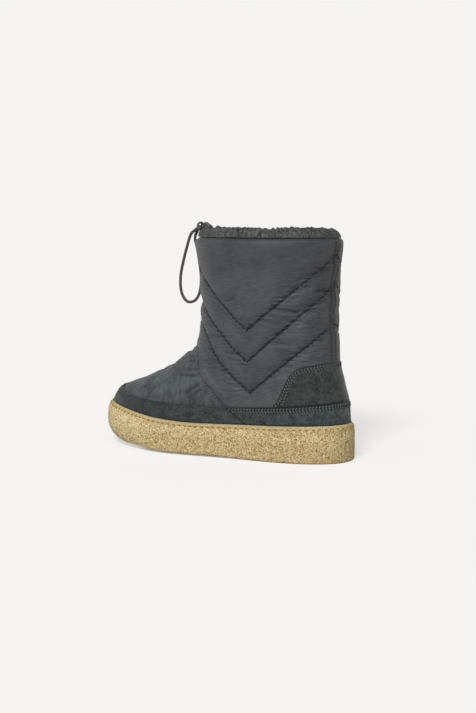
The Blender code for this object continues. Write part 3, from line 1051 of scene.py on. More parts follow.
class Fabric:
    """A woven sheet of points that becomes a mesh: rows by columns, in millimetres."""

    def __init__(self, rows: Array, wrap: bool = True, ring: bool = False) -> None:
        """Keeps the points.

        Args:
            rows: An array of rows by columns by three.
            wrap: Whether the last column meets the first.
            ring: Whether the last row meets the first.
        """
        self.wrap = wrap
        self.ring = ring
        self.inner_shape = np.shape(rows)[:2]
        self.points = self.meet(np.asarray(rows, float))
        self.numbers: dict[str, Array] = {}
        self.chart: tuple[Array, Array] | None = None

    def meet(self, values: Array) -> Array:
        """Repeats the first column and row of values where the sheet meets itself.

        Args:
            values: Rows by columns.

        Returns:
            The grown values.
        """
        if self.wrap:
            values = np.concatenate((values, values[:, :1]), axis=1)
        if self.ring:
            values = np.concatenate((values, values[:1]), axis=0)
        return values

    def number(self, name: str, values: Array) -> None:
        """Keeps a number for each point under a name."""
        self.numbers[name] = self.meet(np.broadcast_to(values, self.inner_shape).astype(float))

    def lay_chart(self, up: Array) -> None:
        """Charts the sheet for its UV map: once round over the columns, and up by given values."""
        up = np.broadcast_to(up, self.points.shape[:2])
        self.chart = (np.broadcast_to(np.linspace(0.0, 1.0, up.shape[1]), up.shape), up)

    def mesh(self, name: str) -> Piece:
        """Makes the mesh from a grid primitive.

        Args:
            name: The object's name.

        Returns:
            The object, with smooth faces, its numbers as attributes and its UV map.
        """
        rows, columns = self.points.shape[:2]
        deselect()
        bpy.ops.mesh.primitive_grid_add(x_subdivisions=columns - 1, y_subdivisions=rows - 1, size=2.0)
        thing = bpy.context.object
        thing.name = name
        mesh = thing.data
        mesh.name = name
        flat = np.empty(len(mesh.vertices) * 3, np.float32)
        mesh.vertices.foreach_get("co", flat)
        flat = flat.reshape(-1, 3)
        j = np.rint((flat[:, 0] + 1) / 2 * (columns - 1)).astype(int)
        i = np.rint((flat[:, 1] + 1) / 2 * (rows - 1)).astype(int)
        mesh.vertices.foreach_set("co", (self.points[i, j] * MM).astype(np.float32).ravel())
        for word, values in self.numbers.items():
            kept = mesh.attributes.new(word, "FLOAT", "POINT")
            kept.data.foreach_set("value", values[i, j].astype(np.float32))
        if self.chart is not None:
            corner = np.empty(len(mesh.loops), np.int32)
            mesh.loops.foreach_get("vertex_index", corner)
            u, v = self.chart
            pair = np.column_stack((u[i, j][corner], v[i, j][corner]))
            mesh.uv_layers[0].data.foreach_set("uv", pair.astype(np.float32).ravel())
        mesh.update()
        edit_all(thing, bpy.ops.mesh.remove_doubles, threshold=MERGE)
        bpy.ops.object.shade_smooth()
        return thing


def settle(thing: Piece, material: Material, slot: Slot, *nodes: str) -> Piece:
    """Turns a piece's faces out, dresses it, puts it on the boot's body and hides the solids it stands for.

    Args:
        thing: The closed piece.
        material: Its finish.
        slot: Not used.
        nodes: The solids that the piece replaces.

    Returns:
        The piece.
    """
    edit_all(thing, bpy.ops.mesh.normals_make_consistent, inside=False)
    thing.data.materials.clear()
    thing.data.materials.append(material)
    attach(thing, BODY)
    if nodes:
        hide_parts(*nodes)
    return thing


@dataclass
class Camera:
    """The camera at the photograph's viewing angle."""

    azimuth_deg: float = 30.0
    elevation_deg: float = 6.0
    distance: float = 1300.0
    lens: float = 65.99
    sensor: float = 36.0
    aim_right: float = 12.02
    aim_height: float = 92.9

    def build(self) -> None:
        """Makes the camera and gives it to the scene."""
        azimuth, elevation = math.radians(self.azimuth_deg), math.radians(self.elevation_deg)
        right = Vector((math.cos(azimuth), math.sin(azimuth), 0.0))
        flat = math.cos(elevation)
        back = Vector((math.sin(azimuth) * flat, -math.cos(azimuth) * flat, math.sin(elevation)))
        aim = right * self.aim_right + Vector((0.0, 0.0, self.aim_height))
        data = bpy.data.cameras.new("camera")
        data.lens = self.lens
        data.sensor_width = self.sensor
        data.clip_start = 0.01
        data.clip_end = 100.0
        thing = bpy.data.objects.new("camera", data)
        thing.location = (aim + back * self.distance) * MM
        thing.rotation_mode = "QUATERNION"
        thing.rotation_quaternion = (-back).to_track_quat("-Z", "Y")
        bpy.context.scene.collection.objects.link(thing)
        bpy.context.scene.camera = thing


@dataclass
class Studio:
    """A plain pale floor under soft light."""

    floor_half: float = 40.0
    sky: Colour = (0.905, 0.897, 0.882)
    zenith: Colour = (0.3, 0.3, 0.3)
    darkens: tuple[float, float] = (0.2, 0.46)
    key_strength: float = 4.2
    key_spread_deg: float = 22.0
    key_tilt_deg: float = 48.0
    key_turn_deg: float = 14.0

    def build(self) -> None:
        """Makes the floor, the sky and the key light."""
        deselect()
        bpy.ops.mesh.primitive_grid_add(x_subdivisions=4, y_subdivisions=4, size=2 * self.floor_half)
        ground = bpy.context.object
        ground.name = "studio_floor"
        ground.data.materials.append(PaleGround().make())
        bpy.context.scene.world = self.dome()
        lamp = bpy.data.lights.new("key", "SUN")
        lamp.energy = self.key_strength
        lamp.angle = math.radians(self.key_spread_deg)
        key = bpy.data.objects.new("key", lamp)
        key.rotation_euler = (math.radians(self.key_tilt_deg), 0.0, math.radians(self.key_turn_deg))
        bpy.context.scene.collection.objects.link(key)
        bpy.context.scene.view_settings.view_transform = "Standard"

    def dome(self) -> World:
        """Makes a sky that is pale near the horizon and darker overhead.

        Returns:
            The sky.
        """
        s = ShaderSheet("studio", sky=True)
        way = s.node("ShaderNodeTexCoord", output="Generated")
        up = s.node("ShaderNodeSeparateXYZ", None, {0: way}, 2)
        return s.dress(color=s.blend(up.step(*self.darkens), self.sky, self.zenith))


@dataclass
class Drawcord:
    """The ball lock at the front of the collar and the loop of cord that hangs from it."""

    lock_centre: Triple = (-28.75, 0.0, 221.8)
    lock_radii: Triple = (4.2, 4.6, 4.7)
    diameter: float = 3.0
    hole_diameter: float = 3.6
    hole_depth: float = 2.0
    hole_spread: float = 2.2
    hole_tilt_deg: float = 35.0
    strand_relief: float = 0.1
    strands: int = 4
    crossings: int = 62
    rows: int = 520
    columns: int = 16
    route: tuple[Triple, ...] = (
        (-39.4, -1.6, 214.0), (-44.2, -1.2, 202.0), (-49.4, -0.6, 186.0), (-53.0, 0.0, 170.0),
        (-52.0, 0.4, 155.0), (-45.5, 0.8, 146.3), (-36.8, 1.2, 147.6), (-31.4, 1.6, 156.0),
        (-29.8, 1.8, 170.0), (-31.6, 2.0, 185.0), (-34.6, 2.2, 200.0), (-36.9, 2.0, 210.0),
    )

    def hole(self, side: float) -> tuple[Vector, Vector]:
        """The centre of a strand's hole in the lock's face and the direction out of it.

        Args:
            side: -1 for the outer strand, 1 for the inner one.

        Returns:
            The centre and the direction.
        """
        tilt = math.radians(self.hole_tilt_deg)
        out = Vector((-math.cos(tilt), 0.0, -math.sin(tilt)))
        centre = Vector(self.lock_centre) + Vector((0.0, side, 0.0)) * self.hole_spread
        reach = self.lock_radii[0] * math.sqrt(1 - (self.hole_spread / self.lock_radii[1]) ** 2)
        return centre + out * reach, out

    def line(self) -> Array:
        """The cord's centre line, from inside one hole to inside the other.

        Returns:
            Points in millimetres.
        """
        first, out_first = self.hole(-1.0)
        last, out_last = self.hole(1.0)
        inside = self.hole_depth - 0.5
        start = [first - out_first * inside, first + out_first * 2.0]
        end = [last + out_last * 2.0, last - out_last * inside]
        route = [tuple(place) for place in start] + list(self.route) + [tuple(place) for place in end]
        return smooth_route(route, self.rows)

    def build_cord(self) -> Piece:
        """Returns:
            The cord.
        """
        line = self.line()
        ahead = unit(np.gradient(line, axis=0))
        across = unit(np.cross(ahead, (0.0, 1.0, 0.0)))
        other = np.cross(ahead, across)
        turn = angles_round(self.columns)
        share = np.linspace(0.0, 1.0, self.rows)[:, None]
        wind = FULL_TURN * self.crossings * share
        over = np.sin(self.strands * turn + wind) * np.sin(self.strands * turn - wind)
        radius = self.diameter / 2 - self.strand_relief + self.strand_relief * over
        ring = across[:, None] * np.cos(turn)[None, :, None] + other[:, None] * np.sin(turn)[None, :, None]
        rows = line[:, None] + ring * radius[..., None]
        ends = [np.broadcast_to(line[end], (1, self.columns, 3)) for end in (0, -1)]
        rows = np.concatenate((ends[0], rows, ends[1]))
        sheet = Fabric(rows)
        sheet.lay_chart(np.linspace(0.0, 1.0, len(rows))[:, None])
        thing = sheet.mesh("drawcord")
        settle(thing, Braid(crossings=self.crossings).make(), Slot.CORD, "drawcord_loop")
        path = line[:: max(1, self.rows // 60)]
        path = np.vstack((path, line[-1:])) * MM
        return thing

    def build_lock(self) -> Piece:
        """Makes the ball with its two holes and rounds their rims.

        Returns:
            The lock.
        """
        deselect()
        bpy.ops.mesh.primitive_uv_sphere_add(segments=48, ring_count=24, radius=1.0)
        ball = bpy.context.object
        ball.name = "cord_lock_ball"
        place = Matrix.Translation(Vector(self.lock_centre) * MM)
        ball.data.transform(place @ Matrix.Diagonal((*(r * MM for r in self.lock_radii), 1.0)))
        for side in (-1.0, 1.0):
            centre, out = self.hole(side)
            deselect()
            bpy.ops.mesh.primitive_cylinder_add(
                vertices=24, radius=self.hole_diameter / 2 * MM, depth=2 * self.hole_depth * MM
            )
            drill = bpy.context.object
            turn = out.to_track_quat("Z", "Y").to_matrix().to_4x4()
            drill.data.transform(Matrix.Translation(centre * MM) @ turn)
            apply_modifier(ball, "BOOLEAN", operation="DIFFERENCE", solver="EXACT", object=drill)
            bpy.data.objects.remove(drill, do_unlink=True)
        round_edges(ball, 0.22, 40.0)
        make_active(ball)
        bpy.ops.object.shade_smooth_by_angle(angle=math.radians(50))
        return settle(ball, LockPlastic().make(), Slot.LOCK, "cord_lock")


@dataclass
class Upper:
    """The quilted shaft and the plain vamp in one padded wall, with its lining."""

    shape: BootShape
    columns: int = 400
    hidden_rows: int = 8
    vamp_rows: int = 56
    edge_rows: int = 10
    channel_rows: int = 38
    panel_rows: int = 44
    lining_rows: int = 18
    edge_reach: float = 4.5
    dip_depth: float = 2.4
    dip_width: float = 5.0
    crown: float = 0.9
    crown_width: float = 13.0
    groove_depth: float = 1.3
    groove_width: float = 1.1
    pucker: float = 0.9
    pucker_pitch: float = 4.4
    slub: float = 0.1
    sag: float = 0.7
    rumple: float = 0.6
    strip_half: float = 5.2
    strip_rise: float = 0.4
    strip_shift: float = -5.9
    lap_width: float = 0.8
    front_reach: float = 24.0
    throat_roll: float = 1.2
    chart_height: float = 250.0
    padding: float = 0.55
    front_line: Table = (
        (0.0, 0.0), (58.0, 0.0), (64.0, -0.5), (70.0, -0.3), (77.0, 0.6), (80.0, 0.3), (84.0, -1.0),
        (88.0, 0.1), (94.0, 1.6), (98.0, 0.9), (104.0, -1.5), (110.0, -1.6), (115.0, 0.0),
        (121.0, 1.2), (127.0, 3.0), (134.0, 2.9), (142.0, 1.0), (150.0, 0.0), (260.0, 0.0),
    )
    back_line: Table = (
        (0.0, 0.0), (88.0, 0.0), (97.0, 0.4), (118.0, 0.4), (128.0, -0.3), (137.0, -1.4),
        (144.0, -2.2), (152.0, -0.6), (160.0, -0.3), (174.0, -1.1), (184.0, -0.2), (195.0, -0.9),
        (260.0, -0.9),
    )
    creases: tuple[Crease, ...] = (
        Crease(111.0, 146.6, 139.5, 141.8, 2.3, 1.4, 0.9),
        Crease(101.0, 134.6, 121.0, 129.6, 1.0, 1.4, 0.8),
        Crease(82.0, 135.3, 101.0, 135.0, 1.3, 1.3, 0.5),
        Crease(149.0, 161.8, 168.0, 160.8, 2.0, 1.6, 0.7),
        Crease(137.0, 164.8, 152.0, 167.6, 0.9, 1.6, 0.7),
        Crease(114.0, 112.6, 134.0, 111.2, 0.9, 2.0, 0.8),
        Crease(71.0, 151.0, 87.0, 156.2, 1.0, 1.6, 0.4),
        Crease(46.0, 114.3, 74.0, 116.2, 1.0, 1.4, 0.5),
        Crease(66.0, 96.2, 81.0, 97.8, 0.9, 1.4, 0.5),
        Crease(81.0, 102.0, 101.0, 98.4, 0.9, 1.4, 0.4),
        Crease(138.0, 133.5, 152.0, 132.0, 1.0, 1.5, 0.6),
        Crease(146.0, 148.5, 163.0, 149.5, 1.1, 1.5, 0.6),
        Crease(84.5, 72.0, 77.0, 59.0, 1.3, 2.4, 0.7),
        Crease(88.0, 67.0, 81.0, 53.0, 1.1, 2.2, 0.6),
        Crease(40.0, 95.6, 61.0, 96.6, 1.1, 1.4, 0.6),
        Crease(49.0, 89.8, 68.0, 91.6, 1.1, 1.5, 0.6),
        Crease(57.0, 83.2, 76.0, 84.2, 1.0, 1.7, 0.6),
        Crease(60.0, 76.2, 80.0, 77.2, 1.0, 2.0, 0.6),
        Crease(-27.0, 86.0, 43.0, 85.5, 1.5, 2.2, 1.0),
        Crease(-40.0, 75.0, 36.0, 78.0, 1.3, 2.6, 0.9),
        Crease(-16.0, 98.5, 32.0, 97.0, 1.4, 2.0, 0.9),
        Crease(46.0, 64.0, 57.0, 51.5, 0.6, 4.2, 0.4),
        Crease(38.0, 75.0, 65.0, 53.0, 0.6, 4.2, 0.4),
    )

    def __post_init__(self) -> None:
        """Works out the columns and the quilting lines."""
        self.angle = angles_round(self.columns)
        self.lines = [self.shape.chevron_height(self.angle, line) for line in self.shape.chevrons]

    def line_at(self, angle: Array) -> list[Array]:
        """The quilting lines' heights at any angles."""
        turn = np.append(self.angle, FULL_TURN)
        return [np.interp(np.mod(angle, FULL_TURN), turn, np.append(line, line[0])) for line in self.lines]

    def row_heights(self) -> Array:
        """The height of every outer row in every column.

        Returns:
            Rows by columns.
        """
        shape, angle = self.shape, self.angle
        edge = shape.floor(shape.last.point(angle, 0.3)[:, 0]) + shape.gap
        top = shape.rand_top(angle) - 1.5
        rows = [edge + (top - edge) * k / self.hidden_rows for k in range(self.hidden_rows)]
        near = np.minimum(self.edge_reach, (self.lines[0] - top) * 0.3)
        rows += [top + (self.lines[0] - near - top) * k / self.vamp_rows for k in range(self.vamp_rows)]
        quarter = np.arange(self.edge_rows) / self.edge_rows * math.pi / 2
        rows += [self.lines[0] - near + near * share for share in np.sin(quarter)]
        for low, high in zip(self.lines, self.lines[1:]):
            shares = (1 - np.cos(np.arange(self.channel_rows) / self.channel_rows * math.pi)) / 2
            rows += [low + (high - low) * share for share in shares]
        crown = self.lines[-1]
        near = np.minimum(self.edge_reach, (shape.seam_height - crown) * 0.3)
        rows += [crown + near * share for share in 1 - np.cos(quarter)]
        start = crown + near
        panel = shape.seam_height - start
        rows += [start + panel * k / self.panel_rows for k in range(self.panel_rows + 1)]
        return np.array(rows)

    def vamp_side(self, points: Array) -> Array:
        """The distance from the vamp's seam, positive on the vamp.

        Args:
            points: Places on the last.

        Returns:
            Distances in millimetres.
        """
        line = np.array([(x, 0.0, z) for x, z in self.shape.vamp_line])
        away = path_distance(points * np.array((1.0, 0.0, 1.0)), line)
        heights = [row[1] for row in self.shape.vamp_line]
        places = [row[0] for row in self.shape.vamp_line]
        under = points[..., 2] < np.interp(points[..., 0], places, heights)
        return np.where(under, away, -away)

    def strip_middle(self, height: Array) -> Array:
        """How far across the boot the middle of the strip up the back lies."""
        return self.strip_shift * (1 - 0.8 * ramp(height, 150.0, 205.0))

    def strip_away(self, points: Array) -> Array:
        """The distance from the middle of the strip up the back."""
        away = np.abs(points[..., 1] - self.strip_middle(points[..., 2]))
        return np.where(points[..., 0] > 60.0, away, 99.0)

    def crease_relief(self, points: Array) -> tuple[Array, Array]:
        """The creases' relief and the painted shade in their troughs.

        Args:
            points: Places on the last.

        Returns:
            The relief in millimetres and a painted shade from 0 to 1.
        """
        relief = np.zeros(points.shape[:-1])
        shade = np.zeros(points.shape[:-1])
        share = np.linspace(0.0, 1.0, 14)
        for number, crease in enumerate(self.creases):
            across = crease.from_angle < 0.0
            for side in (Side.OUTER,) if across else Side:
                outer = side is Side.OUTER
                strength = 1.0 if outer else 0.75 + 0.25 * math.sin(3.7 * number)
                lower = 1.6 * np.sin(9 * share + number) if across else 0.0
                lower = lower if outer else 2.2 * math.sin(2.3 * number)
                turn = np.radians(crease.from_angle + (crease.to_angle - crease.from_angle) * share)
                height = crease.from_height + (crease.to_height - crease.from_height) * share
                bow = np.sin(share * math.pi) * (0.9 if number % 2 else -0.7)
                path = self.shape.last.skin(side.angle(turn), height + bow + lower, 0.0)
                close = np.linalg.norm(points - path.mean(0), axis=-1) < 60.0
                near = points[close]
                away = path_distance(near, path)
                first, last = (np.linalg.norm(near - path[end], axis=1) for end in (0, -1))
                end = np.minimum(first, last)
                taper = ramp(end, 0.0, 6.0) * 0.85 + 0.15
                trough = bell(away, crease.width) * taper
                below = path_distance(near + np.array((0.0, 0.0, 2.0 * crease.width)), path)
                roll = bell(below, 1.5 * crease.width) * taper
                relief[close] += strength * (crease.ridge * roll - crease.depth * trough)
                # painted shade in the crease's trough
                dark = 0.5 * min(crease.depth, 1.5) * strength * trough**2
                shade[close] = np.maximum(shade[close], dark)
        return relief, shade

    def relief(self, angle: Array, height: Array) -> tuple[Array, Array, Array]:
        """The skin's offset from the last, its painted shade with the vamp seam's dark line, and where the
        vamp is.

        Args:
            angle: Angles round the boot.
            height: Heights over the ground.

        Returns:
            The offset in millimetres, a painted shade from 0 to 1 with the vamp seam's dark line, and the
            vamp from 0 to 1.
        """
        shape = self.shape
        base = shape.last.point(angle, shape.last.depth_at(angle, height))
        seam = self.vamp_side(base)
        front = np.where(base[..., 0] < 40.0, 1.0, 0.0)
        vamp = ramp(seam, -0.4, 0.4) * front
        strip = self.strip_away(base)
        off_strip = ramp(strip, self.strip_half - 0.7, self.strip_half + 0.7)
        nearest = self.line_distance(angle, height)
        offset, shade = self.quilt(base, nearest, vamp, off_strip)
        creased, crease_shade = self.crease_relief(base)
        offset += creased
        shade = np.maximum(shade, crease_shade)
        lap = bell(seam, self.lap_width) * front
        offset += 0.7 * vamp * np.exp(-np.clip(seam, 0.0, None) / 9.0) - 0.5 * lap
        beside = bell(seam + 4.6, 3.4) * front * ramp(height, 52.0, 74.0)
        offset += self.throat_roll * beside
        offset += smooth_table(self.front_line, height) * front * bell(base[..., 1], self.front_reach)
        offset += smooth_table(self.back_line, height) * ramp(base[..., 0], 80.0, 108.0)
        offset += self.strip_rise * (1 - off_strip)
        offset -= 0.35 * bell(strip - self.strip_half, 0.7)
        rim = ramp(height, shape.seam_height - 5.0, shape.seam_height)
        offset = offset * (1 - rim) - 0.4 * rim
        shade = np.maximum(shade, 0.7 * lap)
        # painted shade: the shaft darker towards its back and its top, and on the strip up the back
        behind = 0.16 * ramp(base[..., 0], 50.0, 100.0) * ramp(height, 95.0, 150.0)
        shade = np.maximum(shade, 0.2 * ramp(height, 140.0, 190.0) + behind + 0.42 * (1 - off_strip))
        # painted shade: a shadow line just above the rand that grows towards the heel, a darker band above
        # the rand on the vamp, and the vamp darker from the toe back to its seam
        over_rand = np.clip(height - shape.rand_top(angle), 0.0, None)
        dark = 0.3 + 0.55 * ramp(base[..., 0], -20.0, 70.0)
        shade = np.maximum(shade, dark * bell(over_rand, 1.2))
        shade = np.maximum(shade, 0.3 * vamp * bell(over_rand, 7.0))
        shade = shade + 0.22 * vamp * ramp(base[..., 0], -80.0, -15.0)
        return offset, np.clip(shade, 0.0, 1.0), vamp

    def line_distance(self, angle: Array, height: Array) -> Array:
        """The distance from the nearest quilting line."""
        gaps = [np.abs(height - line) * self.shape.line_slant for line in self.line_at(angle)]
        return np.minimum.reduce(gaps)

    def quilt(self, base: Array, nearest: Array, vamp: Array, off_strip: Array) -> tuple[Array, Array]:
        """The padded channels between the quilting lines, with the puckers that cross the lines.

        Args:
            base: Places on the last.
            nearest: The distance from the nearest quilting line.
            vamp: The vamp from 0 to 1.
            off_strip: 0 on the strip up the back, 1 off it.

        Returns:
            The offset in millimetres and a painted shade from 0 to 1.
        """
        groove = np.exp(-((nearest / self.groove_width) ** 1.5))
        pull = bell(nearest, 4.8)
        drift = soft_noise(base, (10.0, 10.0, 6.0), 1.0)
        ripple = np.cos(FULL_TURN * base[..., 2] / self.pucker_pitch + 3.0 * drift)
        wrinkle = 0.5 * ripple + 0.9 * soft_noise(base, (9.0, 9.0, 2.1), 4.0)
        toward_back = 0.7 + 0.9 * ramp(base[..., 0], 45.0, 105.0)
        crown = self.crown * (1 - bell(nearest, self.crown_width)) * (1 - vamp)
        offset = crown - self.dip_depth * bell(nearest, self.dip_width)
        offset -= self.groove_depth * groove * (0.35 + 0.65 * off_strip)
        offset += self.pucker * toward_back * pull * wrinkle * (1 - 0.4 * groove)
        offset += self.slub * soft_noise(base, (13.0, 13.0, 1.9), 2.0) * (1 - vamp)
        offset += self.sag * soft_noise(base, (30.0, 30.0, 21.0), 3.0) * (1 - pull) * (1 - 0.5 * vamp)
        offset += self.rumple * soft_noise(base, (15.0, 19.0, 11.0), 6.0) * vamp
        offset *= 1 - 0.4 * ramp(base[..., 0], 85.0, 110.0)
        # painted shade along the quilting lines, narrower and darker off the back strip
        shade = 0.14 * bell(nearest, 2.6) + 0.36 * off_strip * bell(nearest, 1.2)
        return offset, shade

    def build(self) -> Piece:
        """Makes the wall: the outer skin up to the collar and the lining down inside.

        Returns:
            The upper.
        """
        shape = self.shape
        height = self.row_heights()
        angle = np.broadcast_to(self.angle, height.shape)
        offset, shade, vamp = self.relief(angle, height)
        skin = shape.last.skin(angle, height, offset)
        low, high = height[0], height[-1]
        shares = np.linspace(1.0, 0.0, self.lining_rows)[:, None]
        inner_height = low + (high - low) * shares
        inner_angle = np.broadcast_to(self.angle, inner_height.shape)
        nearest = self.line_distance(inner_angle, inner_height)
        dip = self.dip_depth * bell(nearest, 1.4 * self.dip_width)
        lining = shape.last.skin(inner_angle, inner_height, -shape.wall - dip)
        lining += 0.3 * soft_noise(lining, (9.0, 9.0, 9.0), 5.0)[..., None]
        sheet = Fabric(np.concatenate((skin, lining)), ring=True)
        blank = np.zeros(inner_height.shape)
        # the groove attribute carries the painted shade into the nylon
        sheet.number("groove", np.concatenate((shade, blank)))
        sheet.number("vamp", np.concatenate((vamp, blank)))
        gather = bell(self.line_distance(angle, height), 5.5) * (1 - vamp)
        gather = np.maximum(gather, 0.55 * ramp(skin[..., 0], 80.0, 112.0) * ramp(height, 200.0, 170.0))
        sheet.number("gather", np.concatenate((gather, blank)))
        sheet.number("inside", np.concatenate((np.zeros(shade.shape), blank + 1.0)))
        sheet.lay_chart(sheet.meet(np.concatenate((height, inner_height))) / self.chart_height)
        thing = sheet.mesh("upper_skin")
        self.dress(thing)
        return thing

    def dress(self, thing: Piece) -> None:
        """Gives the skin its nylon and the inside its pile.

        Args:
            thing: The upper.
        """
        nylon = Nylon("dull nylon", dark=(0.0196, 0.0208, 0.0233), light=(0.0412, 0.0438, 0.0478))
        settle(thing, nylon.make(), Slot.NYLON, "upper")
        thing.data.materials.append(Fleece("lining pile", (0.018, 0.018, 0.019), (0.07, 0.07, 0.072)).make())
        mesh = thing.data
        inside = np.empty(len(mesh.vertices), np.float32)
        mesh.attributes["inside"].data.foreach_get("value", inside)
        share = np.array([inside[list(face.vertices)].mean() for face in mesh.polygons])
        mesh.polygons.foreach_set("material_index", (share > 0.9).astype(np.int32))
        mesh.attributes.remove(mesh.attributes["inside"])


@dataclass
class SuedeTrim:
    """The rand round the foot and the counter over the heel."""

    shape: BootShape
    rand_thick: float = 1.6
    counter_thick: float = 1.3
    columns: int = 900
    rows: int = 24
    counter_columns: int = 220
    counter_rows: int = 48
    joint_top: tuple[float, float] = (25.0, 49.2)
    joint_foot: tuple[float, float] = (45.0, 34.0)
    joint_step: float = 1.0
    seam_pressed: float = 0.3
    counter_full: float = 0.8
    counter_full_height: float = 76.0

    def ahead_of_joint(self, points: Array) -> Array:
        """How far ahead of the rand's slanting joint a place is.

        Args:
            points: Places on the last.

        Returns:
            Distances.
        """
        (top_x, top_z), (foot_x, foot_z) = self.joint_top, self.joint_foot
        share = (points[..., 2] - top_z) / (foot_z - top_z)
        return top_x + (foot_x - top_x) * share - points[..., 0]

    def joint(self, points: Array) -> Array:
        """The overlap where the rand's front piece lies on its back piece."""
        ahead = self.ahead_of_joint(points)
        return self.joint_step * ramp(ahead, -0.5, 0.5) * np.exp(-np.clip(ahead, 0.0, None) / 16.0)

    def build_rand(self) -> Piece:
        """Makes the strip with a rounded top edge.

        Returns:
            The rand.
        """
        shape = self.shape
        angle = angles_round(self.columns)
        low = shape.lip(angle) - shape.rand_below_lip
        top = shape.rand_top(angle)
        out = shape.gap + self.rand_thick
        profile = [(share, out) for share in np.linspace(0.0, 0.95, self.rows)]
        profile += [(0.98, out - 0.1), (0.996, out - 0.4), (1.003, out - 0.9), (1.0, shape.gap + 0.05)]
        profile += [(0.6, shape.gap), (0.0, shape.gap)]
        share = np.array([row[0] for row in profile])[:, None]
        height = low + (top - low) * share
        turn = np.broadcast_to(angle, height.shape)
        offset = np.broadcast_to(np.array([row[1] for row in profile])[:, None], height.shape)
        base = shape.last.skin(turn, height, 0.0)
        outer = (offset > shape.gap + 0.3).astype(float)
        nap = 0.16 * soft_noise(base, (16.0, 16.0, 7.0), 8.0) + 0.07 * soft_noise(base, (3.0, 3.0, 3.0), 9.0)
        pressed = self.seam_pressed * bell(top - height - 2.9, 2.2)
        offset = offset + outer * (nap + self.joint(base) - pressed)
        sheet = Fabric(shape.last.skin(turn, height, offset), ring=True)
        # edge: the dark cut top edge, partly painted shade as it grows darker towards the heel, and the
        # joint's dark cut edge
        edge = ramp(np.broadcast_to(share, height.shape), 0.955, 0.985) * outer
        edge = edge * (0.4 + 0.6 * ramp(base[..., 0], -20.0, 70.0))
        joint_line = bell(self.ahead_of_joint(base) + 0.7, 1.1)
        # painted shade: a shadow line where the rand goes into the lip, and a darker front
        foot = 0.75 * bell(height - shape.lip(angle), 1.3)
        front = 0.34 * (1 - ramp(base[..., 0], -75.0, 15.0))
        sheet.number("edge", np.maximum.reduce((edge, joint_line, foot, front)))
        thing = sheet.mesh("rand_strip")
        dress = Suede("rand suede", (0.0105, 0.014, 0.0138), (0.0385, 0.0475, 0.0465))
        return settle(thing, dress.make(), Slot.SUEDE, "rand")

    def counter_outline(self) -> tuple[Array, Array]:
        """The angles and heights of the counter's front and top edge.

        Returns:
            The angles and the heights.
        """
        shape = self.shape
        start = math.radians(shape.counter_edge[0][0])
        angle = np.linspace(start, FULL_TURN - start, 420)
        return angle, shape.rand_top(angle) + shape.gap + shape.counter_rise(angle)

    def build_counter(self) -> Piece:
        """Makes the patch over the back of the heel.

        Returns:
            The counter.
        """
        shape = self.shape
        start = math.radians(shape.counter_edge[0][0])
        angle = np.linspace(start, FULL_TURN - start, self.counter_columns + 1)
        low = shape.rand_top(angle) + shape.gap
        rise = shape.counter_rise(angle)
        share = np.linspace(0.0, 1.0, self.counter_rows + 1)[:, None]
        height = low + rise * share
        turn = np.broadcast_to(angle, height.shape)
        base = shape.last.skin(turn, height, 0.0)
        nap = 0.14 * soft_noise(base, (15.0, 15.0, 12.0), 11.0)
        nap += 0.05 * soft_noise(base, (3.0, 3.0, 3.0), 12.0)
        rim_angle, rim_height = self.counter_outline()
        away = path_distance(base, shape.last.skin(rim_angle, rim_height, 0.0))
        pressed = self.seam_pressed * bell(away - 3.0, 2.0)
        full = self.counter_full * bell(height - self.counter_full_height, 11.0)
        full *= ramp(base[..., 0], 85.0, 108.0)
        out = np.clip(shape.gap + nap - pressed, 0.1, None) + full
        sheet = Fabric(shape.last.skin(turn, height, out), wrap=False)
        # painted shade along the counter's foot just above the rand; the dark rim is its cut edge
        foot = bell(height - low, 0.9)
        sheet.number("edge", np.maximum(0.9 * foot, bell(away, 0.5)))
        thing = sheet.mesh("counter_patch")
        self._thicken(thing)
        # the counter's suede is a darker copy of the rand's: painted shade on the back of the heel
        dress = Suede("counter suede", (0.0087, 0.0108, 0.0106), (0.0308, 0.0365, 0.0356))
        return settle(thing, dress.make(), Slot.SUEDE, "heel_counter")

    def _thicken(self, thing: Piece) -> None:
        """Gives the patch its thickness, outwards, and rounds its cut edge.

        Args:
            thing: The patch.
        """
        middle = Vector((60.0, 0.0, 75.0)) * MM
        faces = thing.data.polygons
        if sum(face.normal.dot(face.center - middle) for face in faces) < 0:
            thing.data.flip_normals()
        apply_modifier(thing, "SOLIDIFY", thickness=self.counter_thick * MM, offset=1.0, use_rim=True)
        round_edges(thing, 0.4, 60.0)


